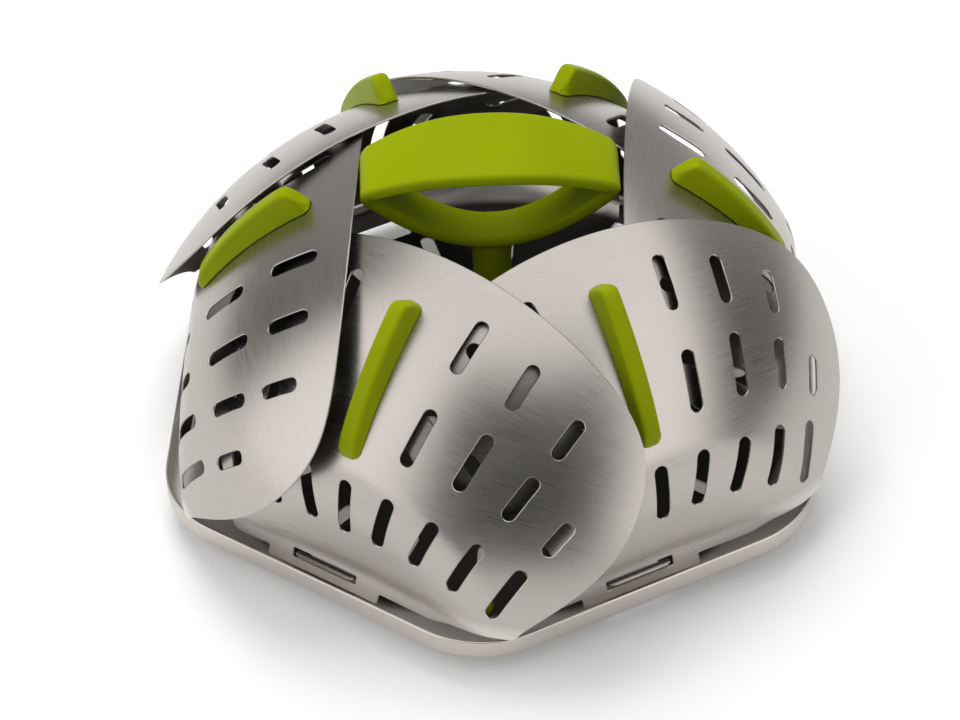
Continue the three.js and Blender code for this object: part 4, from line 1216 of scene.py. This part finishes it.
# %% Places along the loop
HANDLE_HALF_LENGTH = 38.0
HANDLE_TOP = 104.4
HANDLE_END_HEIGHT = 92.4
HANDLE_LOW = 68.9
HANDLE_END_BEND = 2.7
HANDLE_THICKNESS = {"top": 4.3, "end": 4.7, "low": 3.8}
HANDLE_DEPTH = {"top": 29.7, "shoulder": 21.8, "tip": 18.5, "low": 13.6}
ARCH_POWER = 2.36
BOWL_POWER = 1.95
HANDLE_BAND_STEPS = 56
HANDLE_END_STEPS = 14


def handle_band(way, height, power, thickness, depth, end_depth):
    """One curve of the lens as [x, z, direction outwards, thickness, depth]."""
    reach = HANDLE_HALF_LENGTH - HANDLE_THICKNESS["end"] / 2 - HANDLE_END_BEND
    places = []
    for along in way * np.linspace(1, -1, HANDLE_BAND_STEPS + 1):
        middle = 1 - along * along
        slope = power * np.sign(along) * abs(along) ** (power - 1)
        z = HANDLE_END_HEIGHT + way * height * (1 - abs(along) ** power)
        out = math.atan2(way * reach, height * slope)
        thick = HANDLE_THICKNESS["end"] + (thickness - HANDLE_THICKNESS["end"]) * middle
        places.append((reach * along, z, out, thick, end_depth + (depth - end_depth) * middle))
    return places


def handle_end(start, end):
    """The places between the ends of two curves, turning about the tip of the lens."""
    x, z, out, thickness, depth = start
    turn = (end[2] - out) % (2 * math.pi)
    shares = np.linspace(0, 1, HANDLE_END_STEPS + 1)[1:-1]
    return [(x, z, out + turn * t, thickness, depth + (end[4] - depth) * t) for t in shares]


def handle_places():
    top, low = HANDLE_THICKNESS["top"], HANDLE_THICKNESS["low"]
    arch_height = HANDLE_TOP - top / 2 - (HANDLE_END_BEND + HANDLE_END_HEIGHT)
    bowl_height = HANDLE_END_HEIGHT - HANDLE_END_BEND - HANDLE_LOW - low / 2
    arch = handle_band(1, arch_height, ARCH_POWER, top, HANDLE_DEPTH["top"], HANDLE_DEPTH["shoulder"])
    bowl = handle_band(-1, bowl_height, BOWL_POWER, low, HANDLE_DEPTH["low"], HANDLE_DEPTH["tip"])
    return arch + handle_end(arch[-1], bowl[0]) + bowl + handle_end(bowl[-1], arch[0])


print("loop of", len(handle_places()), "sections")

# %% [markdown]
# The loop and its stem are one moulding. The stem stands in the middle of the tray on a
# broad foot and spreads out under the loop. The photograph shows the handle screwed tight
# a few degrees past square.

# %% Handle
HANDLE_TURN_DEG = 4.6
HANDLE_EDGE_RADIUS = 1.6
HANDLE_EDGE_STEPS = 6
HANDLE_SMOOTH_DEG = 50
STEM_NECK = (5.8, 59.9)
STEM_PROFILE = [(0, 1.2), (11, 1.2), (11, 3.4), (5.2, 3.4), (5.2, 12), STEM_NECK]
STEM_ROUNDS = {1: 0.5, 2: 0.9, 3: 3.0}
STEM_FLARE = (10.0, 6.4, 72.3)  # half length, half depth, height
STEM_FLARE_STEPS = 12


def handle_section(thickness, depth):
    radius = HANDLE_EDGE_RADIUS
    outline = []
    for turn, (across, along) in enumerate([(1, 1), (-1, 1), (-1, -1), (1, -1)]):
        for step in range(HANDLE_EDGE_STEPS + 1):
            angle = (turn + step / HANDLE_EDGE_STEPS) * math.pi / 2
            outline.append((across * (thickness / 2 - radius) + radius * math.cos(angle),
                            along * (depth / 2 - radius) + radius * math.sin(angle)))
    return outline


def ellipse(half_length, half_depth, height):
    turns = np.linspace(0, 2 * math.pi, LATHE_STEPS, endpoint=False)
    return [(half_length * math.cos(a), half_depth * math.sin(a), height) for a in turns]


def stem_rings():
    neck, low = STEM_NECK
    length, depth, high = STEM_FLARE
    rings = turned(rounded(STEM_PROFILE, STEM_ROUNDS)[1:])
    for t in np.linspace(0, 1, STEM_FLARE_STEPS + 1)[1:]:
        spread = 1 - math.sqrt(1 - t * t)
        half_length, half_depth = neck + (length - neck) * spread, neck + (depth - neck) * t
        rings.append(ellipse(half_length, half_depth, low + (high - low) * t))
    return rings


def ring_object(name, rings, looped=False):
    points = [(x, y, z + FOOT_HEIGHT) for ring in rings for x, y, z in ring]
    return mesh_object(name, points, ring_faces(len(rings), len(rings[0]), looped))


handle_rings = []
for x, z, out, thickness, depth in handle_places():
    section = [(HANDLE_END_BEND + across, along) for across, along in handle_section(thickness, depth)]
    handle_rings.append([(x + r * math.cos(out), y, z + r * math.sin(out)) for r, y in section])
handle = ring_object("loop_handle", handle_rings, looped=True)
handle = joined_as_one(handle, [ring_object("stem", stem_rings())])
handle.data.transform(Matrix.Rotation(math.radians(HANDLE_TURN_DEG), 4, "Z"))
smooth(handle, HANDLE_SMOOTH_DEG)
finish_piece(handle, green_nylon, "green_nylon", "base", "handle")
print("handle of", len(handle.data.polygons), "faces")

# %% [markdown]
# ## Small parts under the tray
# A screw with a washer pulls the stem's threaded insert down on the tray. Three silicone
# feet, pushed through holes of the floor, keep the basket above the water. The metal ones
# are zinc-plated steel, paler and smoother than the sheet. All of these are turned shapes,
# so a short profile says everything, and no sculpting or modifier is needed.

# %% Screw, washer, insert and feet
SCREW_PROFILE = [(0, -2.3), (1.2, -2.3), (1.2, -3.6), (2.8, -3.6), (4, -2.5), (4, -1.4),
                 (2, -1.4), (2, 12.6), (0, 12.6)]
SCREW_ROUNDS = {3: 0.3, 4: 0.9, 5: 0.3}
WASHER_PROFILE = [(2.3, -1.1), (5.5, -1.1), (5.5, -0.3), (2.3, -0.3)]
WASHER_ROUNDS = {1: 0.15, 2: 0.15}
INSERT_PROFILE = [(2.3, 1.2), (3.6, 1.2), (3.6, 13.2), (2.3, 13.2)]
FOOT_PROFILE = [(0, -FOOT_HEIGHT), (6, -FOOT_HEIGHT), (5.2, -0.3), (2.4, -0.3),
                (2.4, 1.2), (4, 1.2), (3.4, 2.6), (0, 2.6)]
FOOT_ROUNDS = {1: 0.9, 2: 0.6, 5: 0.4, 6: 0.7}


def round_piece(name, profile, looped=False, place=(0, 0)):
    kept = profile if looped else profile[1:-1]
    rings = turned(kept)
    points = [(x + place[0], y + place[1], z + FOOT_HEIGHT) for ring in rings for x, y, z in ring]
    return smooth(mesh_object(name, points, ring_faces(len(rings), LATHE_STEPS, looped)))


bright_steel = brushed_steel("zinc_plated_steel", "#CFCFCB", "#B9B9B5", roughness=0.28,
                             scratch_depth=0.004)
screw = round_piece("pan_head_screw", rounded(SCREW_PROFILE, SCREW_ROUNDS))
finish_piece(screw, bright_steel, "bright_steel", "base", "handle_screw")
washer = round_piece("plain_washer", rounded(WASHER_PROFILE, WASHER_ROUNDS), looped=True)
finish_piece(washer, bright_steel, "bright_steel", "base", "handle_washer")
insert = round_piece("threaded_insert", INSERT_PROFILE, looped=True)
finish_piece(insert, bright_steel, "bright_steel", "base", "handle_insert")
for index, turn in enumerate(FOOT_TURNS_DEG):
    place = [FOOT_CIRCLE_RADIUS * f(math.radians(turn)) for f in (math.cos, math.sin)]
    foot = round_piece(f"push_in_foot_{index + 1}", rounded(FOOT_PROFILE, FOOT_ROUNDS), place=place)
    finish_piece(foot, green_silicone, "green_silicone", "base", f"foot_{index + 1}")
print("small parts", screw.name, washer.name, insert.name, "and", len(FOOT_TURNS_DEG), "feet")

# %% [markdown]
# ## Floor and background
# The basket stands on a white sweep. It is matt paper that also glows a little for rays
# from the camera or by way of a mirror, so it looks plain white in the open and only the
# shadow shows, as a soft grey. The grain of the paper is about a tenth of a millimetre. It
# is drawn at 2.5 mm and very shallow.

# %% Floor
FLOOR_SIZE = 4.0
FLOOR_GLOW = 0.13
PAPER_GRAIN = 2.5
PAPER_GRAIN_DEPTH = 0.02


def seen_directly(tree, *kinds):
    """1 for rays of the given kinds, from the camera or by way of glass or a mirror."""
    path = add_node(tree, "ShaderNodeLightPath")
    seen = path.outputs["Is Camera Ray"]
    for kind in kinds:
        either = add_node(tree, "ShaderNodeMath", {"operation": "MAXIMUM"}, {
            0: seen, 1: path.outputs[kind]})
        seen = either.outputs["Value"]
    return seen


def floor_material():
    material, tree = new_material("white_paper_sweep")
    place = add_node(tree, "ShaderNodeTexCoord").outputs["Object"]
    grain = add_node(tree, "ShaderNodeTexNoise", inputs={
        "Vector": place, "Scale": 1 / (PAPER_GRAIN * MM), "Detail": 2.0})
    bump = add_node(tree, "ShaderNodeBump", inputs={
        "Height": grain.outputs["Fac"], "Distance": PAPER_GRAIN_DEPTH * MM})
    paper = add_node(tree, "ShaderNodeBsdfDiffuse", inputs={
        "Color": linear("#FBFBFB"), "Normal": bump.outputs["Normal"]})
    seen = seen_directly(tree, "Is Glossy Ray", "Is Transmission Ray")
    strength = add_node(tree, "ShaderNodeMath", {"operation": "MULTIPLY"}, {0: seen, 1: FLOOR_GLOW})
    glow = add_node(tree, "ShaderNodeEmission", inputs={"Strength": strength.outputs["Value"]})
    both = add_node(tree, "ShaderNodeAddShader", inputs={
        0: paper.outputs["BSDF"], 1: glow.outputs["Emission"]})
    add_node(tree, "ShaderNodeOutputMaterial", inputs={"Surface": both.outputs["Shader"]})
    return material


half = FLOOR_SIZE / 2 / MM
corners = [(-half, -half, 0), (half, -half, 0), (half, half, 0), (-half, half, 0)]
floor = mesh_object("floor", corners, [(0, 1, 2, 3)])
floor.data.materials.append(floor_material())
print("floor", FLOOR_SIZE, "m wide")

# %% [markdown]
# ## Light
# Bare metal shows the room more than it shows itself, so the bands on the petals tell where
# the lights stood. Worked back from them there was a bright ceiling, a tall white panel at
# the left, another that leans over from the right, and dark towards the camera and between
# the panels. A picture of a studio could be wrapped round the scene, but a few zones with
# soft borders are easier to move until the bands fit.

# %% Zones of the room
LEFT_AZIMUTH_DEG = -154
LEFT_HALF_WIDTH_DEG = (24, 38)
LEANING_NORMAL = (-0.649, -0.584, 0.488)  # the leaning panel follows the great circle across this
LEANING_HALF_WIDTH_DEG = (13, 24)
LEANING_SIDE = (0.75, -0.6, 0.25)
LEANING_SIDE_COSINES = (0.0, 0.3)
BACK_COSINES = (0.1, 0.8)
CEILING_DEG = (46, 66)


def zone(tree, direction, axis, none, full, both_ends=False):
    """1 inside a zone of the room and 0 outside, by the cosine of the angle to its axis."""
    cosine = add_node(tree, "ShaderNodeVectorMath", {"operation": "DOT_PRODUCT"}, {
        0: direction, 1: axis}).outputs["Value"]
    if both_ends:
        cosine = add_node(tree, "ShaderNodeMath", {"operation": "ABSOLUTE"}, {0: cosine}).outputs["Value"]
    share = add_node(tree, "ShaderNodeMapRange", {"interpolation_type": "SMOOTHSTEP"}, {
        "Value": cosine, "From Min": none, "From Max": full})
    return share.outputs["Result"]


def panel_zone(tree, direction, level):
    """The panel at the left and the leaning one, which ends where it would go behind."""
    azimuth = math.radians(LEFT_AZIMUTH_DEG)
    full, none = (math.cos(math.radians(d)) for d in LEFT_HALF_WIDTH_DEG)
    left = zone(tree, level, (math.cos(azimuth), math.sin(azimuth), 0), none, full)
    full, none = (math.sin(math.radians(d)) for d in LEANING_HALF_WIDTH_DEG)
    leaning = zone(tree, direction, LEANING_NORMAL, none, full, both_ends=True)
    near_side = zone(tree, direction, LEANING_SIDE, *LEANING_SIDE_COSINES)
    leaning = add_node(tree, "ShaderNodeMath", {"operation": "MULTIPLY"}, {0: leaning, 1: near_side})
    panels = add_node(tree, "ShaderNodeMath", {"operation": "MAXIMUM"}, {
        0: left, 1: leaning.outputs["Value"]})
    return panels.outputs["Value"]


print("panels at", LEFT_AZIMUTH_DEG, "degrees and across", LEANING_NORMAL)

# %% [markdown]
# The zones are laid over one another, the back first and the ceiling last. They count in
# full for light that bounces off steel, and about half as much on matt surfaces, so that
# the lamps draw the shadow. The camera sees plain white.

# %% World
DARK_LEVEL = 0.055
BACK_LEVEL = 0.39
PANEL_LEVEL = 1.57
CEILING_LEVEL = 1.34
SOFT_LIGHT_SHARE = 0.475


def room_light(tree):
    """How bright the room is in each direction."""
    direction = add_node(tree, "ShaderNodeTexCoord").outputs["Generated"]
    flattened = add_node(tree, "ShaderNodeVectorMath", {"operation": "MULTIPLY"}, {
        0: direction, 1: (1, 1, 0)})
    level = add_node(tree, "ShaderNodeVectorMath", {"operation": "NORMALIZE"}, {
        0: flattened.outputs["Vector"]}).outputs["Vector"]
    back = zone(tree, level, (0, 1, 0), *BACK_COSINES)
    panels = panel_zone(tree, direction, level)
    ceiling = zone(tree, direction, (0, 0, 1), *(math.sin(math.radians(d)) for d in CEILING_DEG))
    room = DARK_LEVEL
    for share, brightness in ((back, BACK_LEVEL), (panels, PANEL_LEVEL), (ceiling, CEILING_LEVEL)):
        laid = add_node(tree, "ShaderNodeMix", {"data_type": "FLOAT"}, {
            MIX_FACTOR: share, VALUE_FIRST: room, VALUE_SECOND: brightness})
        room = laid.outputs[VALUE_RESULT]
    return room


def make_world():
    world = bpy.data.worlds.new("studio")
    bpy.context.scene.world = world
    world.use_nodes = True
    tree = world.node_tree
    tree.nodes.clear()
    matt = add_node(tree, "ShaderNodeLightPath").outputs["Is Diffuse Ray"]
    soft = add_node(tree, "ShaderNodeMix", {"data_type": "FLOAT"}, {
        MIX_FACTOR: matt, VALUE_FIRST: 1.0, VALUE_SECOND: SOFT_LIGHT_SHARE})
    light = add_node(tree, "ShaderNodeMath", {"operation": "MULTIPLY"}, {
        0: room_light(tree), 1: soft.outputs[VALUE_RESULT]})
    strength = add_node(tree, "ShaderNodeMix", {"data_type": "FLOAT"}, {
        MIX_FACTOR: seen_directly(tree, "Is Transmission Ray"),
        VALUE_FIRST: light.outputs["Value"], VALUE_SECOND: 1.0})
    background = add_node(tree, "ShaderNodeBackground", inputs={
        "Color": (1, 1, 1, 1), "Strength": strength.outputs[VALUE_RESULT]})
    add_node(tree, "ShaderNodeOutputWorld", inputs={"Surface": background.outputs["Background"]})
    return world


world = make_world()
print("world", world.name, "of", len(world.node_tree.nodes), "nodes")

# %% [markdown]
# Two broad lamps stand in for the lights over the table. They are large, so the shadow has
# a soft border, and mirrors don't see them, so the bands on the steel come from the room.

# %% Lamps
LAMP_DISTANCE = 1.4
LAMPS = {"key": (108, 64, 1.0, 11), "fill": (-150, 50, 1.2, 2.5)}  # azimuth, elevation, metres, watts


def area_lamp(name, azimuth_deg, elevation_deg, size, watts):
    az, el = math.radians(azimuth_deg), math.radians(elevation_deg)
    toward = Vector((math.cos(az) * math.cos(el), math.sin(az) * math.cos(el), math.sin(el)))
    lamp = bpy.data.objects.new(name, bpy.data.lights.new(name, "AREA"))
    lamp.data.shape = "DISK"
    lamp.data.size = size
    lamp.data.energy = watts
    lamp.location = toward * LAMP_DISTANCE
    lamp.rotation_euler = toward.to_track_quat("Z", "Y").to_euler()
    lamp.visible_glossy = False
    bpy.context.scene.collection.objects.link(lamp)
    return lamp


for name, (azimuth, elevation, size, watts) in LAMPS.items():
    area_lamp(name, azimuth, elevation, size, watts)
print("lamps", [lamp.name for lamp in bpy.data.lights])
